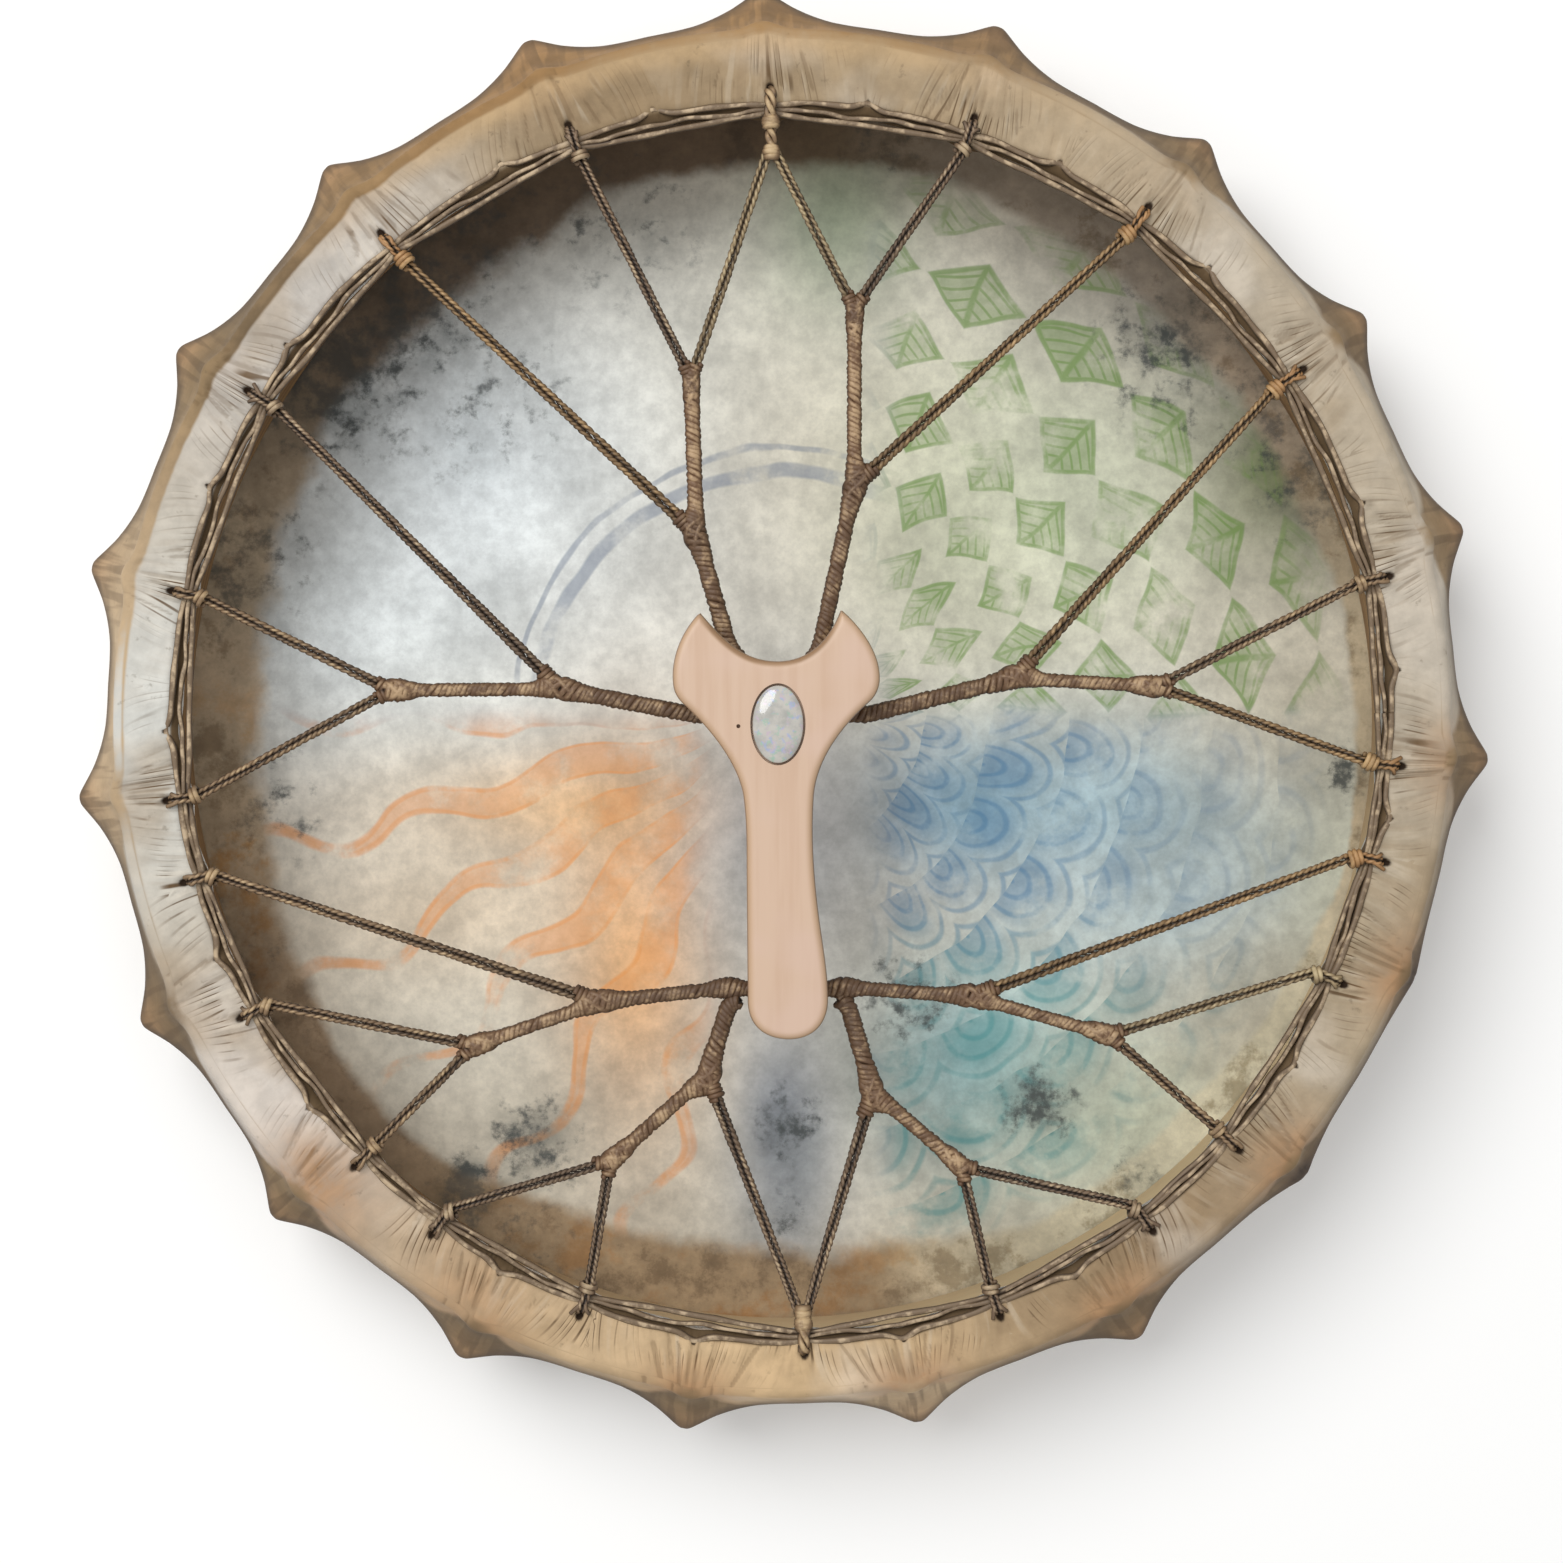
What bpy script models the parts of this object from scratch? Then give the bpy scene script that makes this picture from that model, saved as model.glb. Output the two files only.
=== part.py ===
"""A frame drum lying on its head, with its laced back up.

A rawhide skin is stretched over a bent wooden hoop and over pegs that stand out of the hoop's side,
so the side wall rises to a point at each peg. At the back the skin folds in to a lip, and laces run
from its edge to eight wrapped bundles, which carry a forked wooden handle with a stone in it.

Metres, +Z up. The origin is the centre of the head's outer face, and +Y is the fork end of the handle.
The lacing and the handle are laid out about a centre of their own, a little towards the fork end.
"""

import math

import bmesh
import bpy
from mathutils import Vector
from mathutils.geometry import interpolate_bezier

MM = 0.001

# ---------------------------------------------------------------- driving dimensions
FIT_GAP = 0.3 * MM  # air left between two pieces that touch

SHELL_RADIUS = 248.3 * MM  # outside of the hide at the fold over the hoop's back edge, along X
DRUM_DEPTH = 85 * MM  # from the head's outer face to the top of the fold
HIDE_THICKNESS = 2 * MM
HEAD_FOLD_RADIUS = 5 * MM
BACK_FOLD_RADIUS = 4 * MM
LIP_WIDTH = 23 * MM  # before its edge is fitted to the rim lacing
LIP_DROP = 2.8 * MM  # how far the lip's edge lies below the fold
HOOP_STRETCH = 0.012  # the hoop is longer along Y by this share
CROWN_RISE = 0.024  # and is drawn up by this share of its radius at +Y
CROWN_HALF_ANGLE = math.radians(56)

HOOP_WALL = 8 * MM
HOOP_EDGE_ROUND = 2 * MM

PEG_COUNT = 19
PEG_START_DEG = 91.6
PEG_HEIGHT = 48 * MM  # above the head's outer face
PEG_RISE = 23.8 * MM  # a tent's tip beyond the shell radius
SPAN_RISE = 10.1 * MM  # the hide half-way between two pegs, beyond the shell radius
TENT_ROUNDING = 0.06  # how blunt a tent's tip is
TENT_SLENDERNESS = 2.7  # how quickly the hide falls away from a peg
SHORT_PEGS = {7: 14.0 * MM, 8: 17.2 * MM}  # two worn pegs, with the rise of their tips
PEG_FOOT_RADIUS = 4.2 * MM
PEG_TIP_RADIUS = 3.2 * MM
PEG_TIP_CLEARANCE = 1.9 * MM

LACING_CENTRE = Vector((0.0, 3.0 * MM))
LACE_RING_RADIUS = 224.5 * MM
LACE_RING_SLACK = 0.034  # the rim lacing sags outwards by this share of its radius
LACE_RING_SLACK_ANGLE = math.radians(280)
LACE_RING_SLACK_HALF_ANGLE = math.radians(60)
LACE_RING_THICKNESS = 4.6 * MM
LACE_RING_HEIGHT = 81.0 * MM
SPOKE_THICKNESS = 3.8 * MM
SPOKE_SETBACK = 1.9 * MM  # from the rim lacing's inner side to a lace's end
BUNDLE_THIN = 5.4 * MM  # thickness where two laces are wrapped together
BUNDLE_THICK = 7.0 * MM  # thickness where all three are
KNOT_RADIUS = 5.2 * MM
WEB_LOW = 75.0 * MM  # height of the bundles' axes at the handle
WEB_LEVEL_RADIUS = 125 * MM  # inside it the web is level

HANDLE_UNDERSIDE = 79.0 * MM
HANDLE_THICKNESS = 15.0 * MM
STONE_CENTRE = LACING_CENTRE + Vector((-1.5 * MM, -4.1 * MM))
STONE_HALF_WIDTH = 9.3 * MM
STONE_HALF_LENGTH = 14.2 * MM
STONE_GROOVE = 0.8 * MM  # open groove round the stone
STONE_SEAT_DEPTH = 2.5 * MM
STONE_STANDS_PROUD = 2.6 * MM

# Each bundle, in millimetres about the lacing's centre: the angles at which its first two laces
# leave the rim, and the point where they join; the angle of its third lace, and the point where that
# joins; then the points along which the bundle runs on under the handle.
BUNDLES = [
    ((91.1, 110.0), (-34, 125), 129.9, (-32, 67), [(-20, 25)]),
    ((91.1, 72.1), (27, 151), 54.1, (27, 85), [(14, 24)]),
    ((12.7, 355.1), (140, 10), 33.4, (87, 13), [(30, -1)]),
    ((168.7, 188.1), (-146, 8.5), 148.9, (-83, 9), [(-31, -1)]),
    ((334.2, 316.3), (122, -120), 346.1, (71, -106), [(24, -102.5)]),
    ((209.4, 226.7), (-115, -124), 195.8, (-68, -108), [(-19, -102.5)]),
    ((305.6, 289.9), (67, -169), 272.0, (34, -141), [(24.2, -107.6)]),
    ((236.1, 251.4), (-64, -167), 272.0, (-28, -135), [(-19.5, -107.9)]),
]
HEAD_BINDING_CENTRE = (-2, 3)
STEM_BINDING_CENTRE = (2, -104.5)
HEAD_BINDING_RADIUS = 11 * MM
STEM_BINDING_RADIUS = 9 * MM
BINDING_THICKNESS = 7.4 * MM
# Where two laces leave one loop: the loop's angle, its name, its length and the two bundles.
SHARED_LOOPS = {
    91.1: ("loop_fork_end", 11.0 * MM, (0, 1)),
    272.0: ("loop_stem_end", 4.0 * MM, (6, 7)),
}
LOOP_THICKNESS = 5.6 * MM

# The handle's outline in millimetres about the lacing's centre, as cubic Bezier curves joined end to
# end, anticlockwise from the left horn's tip: start, two handles, and the number of points along it.
HANDLE_OUTLINE = [
    ((-30.2, 37.0), (-38.0, 29.0), (-41.0, 18.8), 4),
    ((-40.0, 10.4), (-39.6, 7.0), (-37.8, 4.6), 3),
    ((-35.4, 2.6), (-25.8, -6.4), (-16.4, -18.4), 7),
    ((-14.2, -30.0), (-12.9, -40.0), (-13.0, -48.0), 3),
    ((-13.0, -58.0), (-12.8, -76.0), (-12.7, -92.0), 3),
    ((-12.6, -106.5), (-12.0, -116.5), (-4.5, -119.8), 4),
    ((2.7, -119.8), (9.5, -119.8), (16.4, -116.0), 4),
    ((16.9, -106.0), (17.0, -98.0), (15.8, -90.0), 2),
    ((14.6, -82.0), (12.2, -66.0), (10.4, -48.0), 4),
    ((11.7, -30.0), (12.9, -17.0), (21.8, -5.0), 7),
    ((32.0, 4.0), (34.2, 6.0), (35.6, 8.6), 3),
    ((35.9, 12.0), (36.4, 21.8), (29.2, 31.6), 4),
    ((21.7, 38.0), (17.2, 26.4), (9.6, 19.1), 4),
    ((-1.5, 19.0), (-13.6, 19.1), (-20.2, 25.4), 4),
]


# ---------------------------------------------------------------- shared helpers
def clear_scene():
    for obj in list(bpy.data.objects):
        bpy.data.objects.remove(obj)


def material(name, colour, roughness, metallic=0.0):
    mat = bpy.data.materials.new(name)
    mat.use_nodes = True
    shader = mat.node_tree.nodes["Principled BSDF"]
    shader.inputs["Base Color"].default_value = (*colour, 1.0)
    shader.inputs["Roughness"].default_value = roughness
    shader.inputs["Metallic"].default_value = metallic
    return mat


def add_object(name, data, mat):
    obj = bpy.data.objects.new(name, data)
    bpy.context.scene.collection.objects.link(obj)
    data.materials.clear()
    data.materials.append(mat)
    return obj


def mesh_from(bm, name, smooth_angle=35.0):
    """Closes the bmesh's seams and poles, turns its faces outwards and makes it a mesh."""
    bmesh.ops.remove_doubles(bm, verts=bm.verts, dist=0.001 * MM)
    bmesh.ops.recalc_face_normals(bm, faces=bm.faces)
    mesh = bpy.data.meshes.new(name)
    bm.to_mesh(mesh)
    bm.free()
    mesh.shade_smooth()
    mesh.set_sharp_from_angle(angle=math.radians(smooth_angle))
    return mesh


def spin_profile(points, steps, closed):
    """Turns a profile of (radius, height) points a full turn about Z."""
    bm = bmesh.new()
    verts = [bm.verts.new((radius, 0.0, height)) for radius, height in points]
    edges = [bm.edges.new(pair) for pair in zip(verts, verts[1:])]
    if closed:
        edges.append(bm.edges.new((verts[-1], verts[0])))
    bmesh.ops.spin(
        bm,
        geom=verts + edges,
        cent=(0, 0, 0),
        axis=(0, 0, 1),
        angle=math.tau,
        steps=steps,
        use_merge=True,
    )
    return bm


def arc_points(centre, radius, start_deg, end_deg, count):
    """Points of an arc in the (radius, height) plane, both ends included."""
    points = []
    for i in range(count):
        angle = math.radians(start_deg + (end_deg - start_deg) * i / (count - 1))
        points.append((centre[0] + radius * math.cos(angle), centre[1] + radius * math.sin(angle)))
    return points


# ---------------------------------------------------------------- the drum's hand-made form
def swell(angle, centre, half_angle):
    """A smooth swelling round the drum: 1 at its centre, 0 from half_angle on either side."""
    away = math.remainder(angle - centre, math.tau) / half_angle
    return max(0.0, 1.0 - away * away) ** 1.5


def egg(angle):
    """Radius factor of the slightly egg-shaped hoop at a polar angle."""
    stretch = HOOP_STRETCH * math.sin(angle) ** 2
    return 1.0 + stretch + CROWN_RISE * swell(angle, math.pi / 2, CROWN_HALF_ANGLE)


def lace_ring_radius(angle):
    """Radius of the rim lacing about its own centre."""
    slack = swell(angle, LACE_RING_SLACK_ANGLE, LACE_RING_SLACK_HALF_ANGLE)
    return LACE_RING_RADIUS * (1.0 + LACE_RING_SLACK * slack)


def lip_edge_radius(angle):
    """Radius of the lip's edge about the hoop's centre: it lies against the rim lacing."""
    shift = LACING_CENTRE.y
    lacing_angle = angle - shift * math.cos(angle) / LACE_RING_RADIUS
    edge = lace_ring_radius(lacing_angle) + LACE_RING_THICKNESS / 2 + FIT_GAP
    return edge + shift * math.sin(angle)


def peg_angle(place):
    """Polar angle of peg number place, which may be a fraction for a point between two pegs."""
    return math.radians(PEG_START_DEG) - math.tau * place / PEG_COUNT


def peg_rise(number):
    """How far the tip of the tent over a peg stands beyond the shell radius."""
    return SHORT_PEGS.get(number % PEG_COUNT + 1, PEG_RISE)


def rounded_fall(distance, rounding):
    """Falls from 1 at distance 0 to 0 at distance 1, along a hyperbola that is round at its top."""
    top = math.hypot(1.0, rounding) - rounding
    return 1.0 - (math.hypot(distance, rounding) - rounding) / top


def side_rise(place, height):
    """How far the side wall stands beyond the shell radius, between pegs and up the drum."""
    nearest = round(place)
    away = min(1.0, abs(place - nearest) * 2)
    tip = peg_rise(nearest) - SPAN_RISE
    ridge = SPAN_RISE + tip * max(0.0, rounded_fall(away, TENT_ROUNDING)) ** TENT_SLENDERNESS
    low, high = HEAD_FOLD_RADIUS, DRUM_DEPTH - BACK_FOLD_RADIUS
    reach = high - PEG_HEIGHT if height > PEG_HEIGHT else PEG_HEIGHT - low
    up = min(1.0, abs(height - PEG_HEIGHT) / reach)
    return ridge * max(0.0, rounded_fall(up, 0.14 + 0.45 * away))


# ---------------------------------------------------------------- hide
def hide_profile():
    """The hide's outer line, from the middle of the head to the lip's edge."""
    head_fold = arc_points(
        (SHELL_RADIUS - HEAD_FOLD_RADIUS, HEAD_FOLD_RADIUS), HEAD_FOLD_RADIUS, -90, 0, 3
    )
    back_fold = arc_points(
        (SHELL_RADIUS - BACK_FOLD_RADIUS, DRUM_DEPTH - BACK_FOLD_RADIUS), BACK_FOLD_RADIUS, 0, 84, 3
    )
    side_heights = [24 * MM, 38 * MM, PEG_HEIGHT, 59 * MM]
    side = [(SHELL_RADIUS, height) for height in side_heights]
    lip_edge = (SHELL_RADIUS - LIP_WIDTH, DRUM_DEPTH - LIP_DROP)
    return [(0.0, 0.0), *head_fold, *side, *back_fold, lip_edge]


def make_hide(mat):
    steps_per_peg = 6
    steps = PEG_COUNT * steps_per_peg
    bm = spin_profile(hide_profile(), steps, closed=False)
    for vert in bm.verts:
        radius = math.hypot(vert.co.x, vert.co.y)
        if radius < 1 * MM:
            continue
        step = math.atan2(vert.co.y, vert.co.x) / math.tau * PEG_COUNT
        number = round(step)
        offset = (step - number) * 2
        place = number + math.copysign(abs(offset) ** 1.4, offset) / 2
        angle = peg_angle(place)
        inward = (SHELL_RADIUS - radius) / LIP_WIDTH
        radius *= egg(angle)
        if inward < 0.01:
            radius += side_rise(place, vert.co.z)
        elif inward > 0.3 and vert.co.z > DRUM_DEPTH / 2:
            fold = (SHELL_RADIUS - BACK_FOLD_RADIUS) * egg(angle)
            fold_inward = BACK_FOLD_RADIUS / LIP_WIDTH
            along = (inward - fold_inward) / (1.0 - fold_inward)
            radius = fold + (lip_edge_radius(angle) - fold) * along
        vert.co.x = radius * math.cos(angle)
        vert.co.y = radius * math.sin(angle)
    hide = add_object("hide", mesh_from(bm, "hide"), mat)
    wall = hide.modifiers.new("Hide thickness", "SOLIDIFY")
    wall.thickness = HIDE_THICKNESS
    wall.offset = -1.0
    wall.use_even_offset = True
    return hide


# ---------------------------------------------------------------- hoop and pegs
def hoop_outer_radius():
    return SHELL_RADIUS - HIDE_THICKNESS - 2 * FIT_GAP


def make_hoop(mat):
    outer = hoop_outer_radius()
    inner = outer - HOOP_WALL
    low = HIDE_THICKNESS + FIT_GAP
    high = DRUM_DEPTH - HIDE_THICKNESS - LIP_DROP * 0.4 - FIT_GAP
    turn = HOOP_EDGE_ROUND
    corners = [
        ((outer - 1.5 * turn, low + 1.5 * turn), 1.5 * turn, -90),
        ((outer - 1.5 * turn, high - 1.5 * turn), 1.5 * turn, 0),
        ((inner + turn, high - turn), turn, 90),
        ((inner + turn, low + turn), turn, 180),
    ]
    profile = []
    for centre, radius, start in corners:
        profile += arc_points(centre, radius, start, start + 90, 2)
    bm = spin_profile(profile, 3 * PEG_COUNT, closed=True)
    for vert in bm.verts:
        factor = egg(math.atan2(vert.co.y, vert.co.x))
        vert.co.x *= factor
        vert.co.y *= factor
    return add_object("hoop", mesh_from(bm, "hoop"), mat)


def peg_mesh(length):
    """A peg standing on its foot along +Z, with a rounded tip."""
    profile = [
        (0.0, 0.0),
        (PEG_FOOT_RADIUS, 0.0),
        (PEG_TIP_RADIUS, length - PEG_TIP_RADIUS),
        (PEG_TIP_RADIUS * 0.7, length - PEG_TIP_RADIUS * 0.29),
        (0.0, length),
    ]
    return mesh_from(spin_profile(profile, 7, closed=False), "peg", smooth_angle=60.0)


def make_pegs(mat):
    meshes = {}
    for number in range(PEG_COUNT):
        angle = peg_angle(number)
        foot = hoop_outer_radius() * egg(angle) + FIT_GAP
        tip = SHELL_RADIUS * egg(angle) + peg_rise(number) - HIDE_THICKNESS - PEG_TIP_CLEARANCE
        length = round(tip - foot, 4)
        if length not in meshes:
            meshes[length] = peg_mesh(length)
        peg = add_object(f"peg_{number + 1:02d}", meshes[length], mat)
        peg.location = (foot * math.cos(angle), foot * math.sin(angle), PEG_HEIGHT)
        peg.rotation_euler = (0.0, math.pi / 2, angle)


# ---------------------------------------------------------------- laces
def web_point(x_mm, y_mm):
    """A point of the laced web, which is level under the handle and rises to the rim."""
    offset = Vector((x_mm * MM, y_mm * MM))
    outward = (offset.length - WEB_LEVEL_RADIUS) / (LACE_RING_RADIUS - WEB_LEVEL_RADIUS)
    height = WEB_LOW + (LACE_RING_HEIGHT - WEB_LOW) * min(1.0, max(0.0, outward))
    return Vector((*(LACING_CENTRE + offset), height))


def rim_point(angle_deg):
    """Where a lace starts: just inside the rim lacing, or at the end of a shared loop."""
    angle = math.radians(angle_deg)
    reach = lace_ring_radius(angle) - LACE_RING_THICKNESS / 2 - SPOKE_SETBACK
    if angle_deg in SHARED_LOOPS:
        reach -= SHARED_LOOPS[angle_deg][1]
    return web_point(reach / MM * math.cos(angle), reach / MM * math.sin(angle))


def tube(name, points, thicknesses, mat, sides_resolution=2, cyclic=False):
    """A round cord along the points, as thick at each as the list says."""
    curve = bpy.data.curves.new(name, "CURVE")
    curve.dimensions = "3D"
    curve.bevel_depth = 0.5
    curve.bevel_resolution = sides_resolution
    curve.use_fill_caps = not cyclic
    spline = curve.splines.new("POLY")
    spline.points.add(len(points) - 1)
    spline.use_cyclic_u = cyclic
    spline.use_smooth = True
    for place, point, thickness in zip(spline.points, points, thicknesses):
        place.co = (*point, 1.0)
        place.radius = thickness
    return add_object(name, curve, mat)


def make_rim_lacing(mat):
    count = 3 * PEG_COUNT
    points = []
    for i in range(count):
        angle = math.tau * i / count
        around = Vector((math.cos(angle), math.sin(angle))) * lace_ring_radius(angle)
        points.append((*(LACING_CENTRE + around), LACE_RING_HEIGHT))
    tube("rim_lacing", points, [LACE_RING_THICKNESS] * count, mat, cyclic=True)


def make_shared_loops(mat):
    for angle_deg, (name, length, _) in SHARED_LOOPS.items():
        end = rim_point(angle_deg)
        outward = Vector((math.cos(math.radians(angle_deg)), math.sin(math.radians(angle_deg)), 0.0))
        points = [end + outward * length, end + outward * length * 0.4, end - outward * MM]
        tube(name, points, [LOOP_THICKNESS * share for share in (0.7, 0.8, 1.1)], mat)


def lace_end(start, joint, others, thickness):
    """The end of a lace that runs from start to joint and stops clear of the knot and its neighbours."""
    back = (start - joint).normalized()
    stop = KNOT_RADIUS + FIT_GAP
    for other_direction, other_thickness, shared in others:
        angle = back.angle(other_direction)
        reach = (thickness + other_thickness) / 2 + FIT_GAP
        needed = reach / (2 * math.sin(angle / 2)) if shared else reach / math.sin(angle)
        stop = max(stop, needed)
    return joint + back * stop


def make_spoke(number, start, end, mat):
    tube(f"spoke_{number:02d}", [start, end], [SPOKE_THICKNESS] * 2, mat)


def start_clear_of_twin(start, target, twin_target):
    """Moves a lace's start along it until it clears the lace that leaves the same loop."""
    along = (target - start).normalized()
    twin = (twin_target - start).normalized()
    half = along.angle(twin) / 2
    return start + along * ((SPOKE_THICKNESS / 2 + FIT_GAP) / math.sin(half))


def twin_of(loop_angle, bundle):
    """The other of the two bundles whose laces leave one loop."""
    return sum(SHARED_LOOPS[loop_angle][2]) - bundle


def binding_stop(point, centre_mm, radius):
    """Where a bundle that runs on from point meets a binding's side."""
    centre = web_point(*centre_mm)
    return centre + (point - centre).normalized() * (radius + FIT_GAP)


def make_bundles(mat):
    number = 0
    joints = [(web_point(*b[1]), web_point(*b[3])) for b in BUNDLES]
    for index, (pair, _, third, _, run) in enumerate(BUNDLES):
        first, second = joints[index]
        inward = (second - first).normalized()
        starts = [rim_point(angle) for angle in pair]
        for i, start in enumerate(starts):
            twin = (starts[1 - i] - first).normalized()
            end = lace_end(start, first, [(twin, SPOKE_THICKNESS, True)], SPOKE_THICKNESS)
            if pair[i] in SHARED_LOOPS:
                start = start_clear_of_twin(start, first, joints[twin_of(pair[i], index)][0])
            number += 1
            make_spoke(number, start, end, mat)
        start = rim_point(third)
        end = lace_end(start, second, [(-inward, BUNDLE_THIN, False)], SPOKE_THICKNESS)
        if third in SHARED_LOOPS:
            start = start_clear_of_twin(start, second, joints[twin_of(third, index)][1])
        number += 1
        make_spoke(number, start, end, mat)

        last = [web_point(*point) for point in run]
        if index < 4:
            last.append(binding_stop(last[-1], HEAD_BINDING_CENTRE, HEAD_BINDING_RADIUS))
        elif index < 6:
            last.append(binding_stop(last[-1], STEM_BINDING_CENTRE, STEM_BINDING_RADIUS))
        onward = (last[0] - second).normalized()
        knot = KNOT_RADIUS * 2
        points = [
            first - inward * 4.6 * MM,
            first - inward * 1.0 * MM,
            first + inward * 8 * MM,
            second - inward * 8 * MM,
            second,
            second + onward * 9 * MM,
            *last,
        ]
        widths = [5.0 * MM, knot, BUNDLE_THIN, BUNDLE_THIN, knot, BUNDLE_THICK]
        widths += [BUNDLE_THICK] * len(last)
        tube(f"bundle_{index + 1}", points, widths, mat)


def make_binding(name, centre_mm, radius, mat):
    """A flat round knot under the handle."""
    half = BINDING_THICKNESS / 2
    profile = [
        (0.0, -half),
        (radius * 0.7, -half),
        (radius, -half * 0.45),
        (radius, half * 0.45),
        (radius * 0.7, half),
        (0.0, half),
    ]
    bm = spin_profile(profile, 12, closed=False)
    bmesh.ops.translate(bm, verts=bm.verts, vec=web_point(*centre_mm))
    add_object(name, mesh_from(bm, name), mat)


# ---------------------------------------------------------------- handle and stone
def handle_outline():
    points = []
    following = HANDLE_OUTLINE[1:] + HANDLE_OUTLINE[:1]
    for (start, handle_1, handle_2, count), (end, *_) in zip(HANDLE_OUTLINE, following):
        corners = [Vector((x, y, 0.0)) for x, y in (start, handle_1, handle_2, end)]
        points += interpolate_bezier(*corners, count + 1)[:-1]
    return [point * MM + LACING_CENTRE.to_3d() for point in points]


def make_handle(mat):
    bm = bmesh.new()
    face = bm.faces.new([bm.verts.new(point) for point in handle_outline()])
    face.normal_update()
    if face.normal.z < 0:
        face.normal_flip()
    edge_depths = [(0.8 * MM, 1.7 * MM), (1.7 * MM, 0.8 * MM)]  # inset, rise
    belt = HANDLE_THICKNESS - 2 * sum(rise for _, rise in edge_depths)
    walls = bmesh.ops.extrude_face_region(bm, geom=[face])["geom"]
    top_verts = [g for g in walls if isinstance(g, bmesh.types.BMVert)]
    bmesh.ops.translate(bm, verts=top_verts, vec=(0, 0, belt))
    bmesh.ops.recalc_face_normals(bm, faces=bm.faces)
    for direction in (1, -1):
        cap = max(bm.faces, key=lambda f: f.calc_area() if f.normal.z * direction > 0.9 else 0)
        for inset, rise in edge_depths:
            bmesh.ops.inset_region(
                bm, faces=[cap], thickness=inset, depth=0.0, use_even_offset=True
            )
            bmesh.ops.translate(bm, verts=cap.verts, vec=(0, 0, rise * direction))
    lift = HANDLE_UNDERSIDE + sum(rise for _, rise in edge_depths)
    bmesh.ops.translate(bm, verts=bm.verts, vec=(0, 0, lift))
    return add_object("handle", mesh_from(bm, "handle"), mat)


def make_stone_seat(handle):
    """Cuts the oval recess for the stone."""
    bm = bmesh.new()
    depth = STONE_SEAT_DEPTH * 2
    bmesh.ops.create_cone(
        bm, cap_ends=True, cap_tris=False, segments=28, radius1=1.0, radius2=1.0, depth=depth
    )
    bmesh.ops.scale(
        bm,
        verts=bm.verts,
        vec=(STONE_HALF_WIDTH + STONE_GROOVE, STONE_HALF_LENGTH + STONE_GROOVE, 1.0),
    )
    top = HANDLE_UNDERSIDE + HANDLE_THICKNESS
    bmesh.ops.translate(bm, verts=bm.verts, vec=(*STONE_CENTRE, top))
    cutter = add_object("stone_seat_cutter", mesh_from(bm, "stone_seat_cutter"), handle.active_material)
    cutter.hide_render = True
    cutter.display_type = "WIRE"
    cut = handle.modifiers.new("Stone seat", "BOOLEAN")
    cut.operation = "DIFFERENCE"
    cut.solver = "EXACT"
    cut.object = cutter


def make_stone(mat):
    """An oval cabochon: straight below the handle's face, domed above it."""
    sunk = STONE_SEAT_DEPTH - FIT_GAP
    profile = [(0.0, -sunk), (1.0, -sunk), (1.0, 0.0)]
    rows = 4
    for i in range(1, rows + 1):
        angle = math.pi / 2 * i / rows
        profile.append((math.cos(angle) if i < rows else 0.0, STONE_STANDS_PROUD * math.sin(angle)))
    bm = spin_profile(profile, 20, closed=False)
    bmesh.ops.scale(bm, verts=bm.verts, vec=(STONE_HALF_WIDTH, STONE_HALF_LENGTH, 1.0))
    top = HANDLE_UNDERSIDE + HANDLE_THICKNESS
    bmesh.ops.translate(bm, verts=bm.verts, vec=(*STONE_CENTRE, top))
    add_object("stone", mesh_from(bm, "stone"), mat)


# ---------------------------------------------------------------- the drum
def main():
    clear_scene()
    wood = material("bent_wood", (0.42, 0.28, 0.16), 0.65)
    peeled_wood = material("peeled_wood", (0.72, 0.52, 0.37), 0.5)
    rawhide = material("rawhide", (0.60, 0.52, 0.42), 0.6)
    sinew = material("sinew", (0.24, 0.15, 0.07), 0.5)
    rim_cord = material("rim_cord", (0.46, 0.38, 0.28), 0.6)
    cabochon = material("cabochon", (0.72, 0.72, 0.70), 0.15)
    make_hide(rawhide)
    make_hoop(wood)
    make_pegs(wood)
    make_rim_lacing(rim_cord)
    make_shared_loops(sinew)
    make_bundles(sinew)
    make_binding("head_binding", HEAD_BINDING_CENTRE, HEAD_BINDING_RADIUS, sinew)
    make_binding("stem_binding", STEM_BINDING_CENTRE, STEM_BINDING_RADIUS, sinew)
    handle = make_handle(peeled_wood)
    make_stone_seat(handle)
    make_stone(cabochon)


main()
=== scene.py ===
# %% [markdown]
# # A frame drum, seen from its laced back
#
# The drum is a rawhide skin pulled over a bent wooden hoop. Pegs stand out of the hoop's side and push
# the skin up into nineteen points. At the back the skin folds in to a lip. A lacing of three strands
# runs along the lip's edge, and twisted sinews run from it to eight wrapped bundles that carry a
# forked wooden handle with a stone in it.
#
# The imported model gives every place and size. This lesson dresses it: each piece is modelled again in
# fine detail, in the same place, and gets a finish of its own.

# %% Load the frame
import math
import random

import bmesh
import bpy
import numpy as np
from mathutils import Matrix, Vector
from mathutils.geometry import interpolate_bezier


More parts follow.
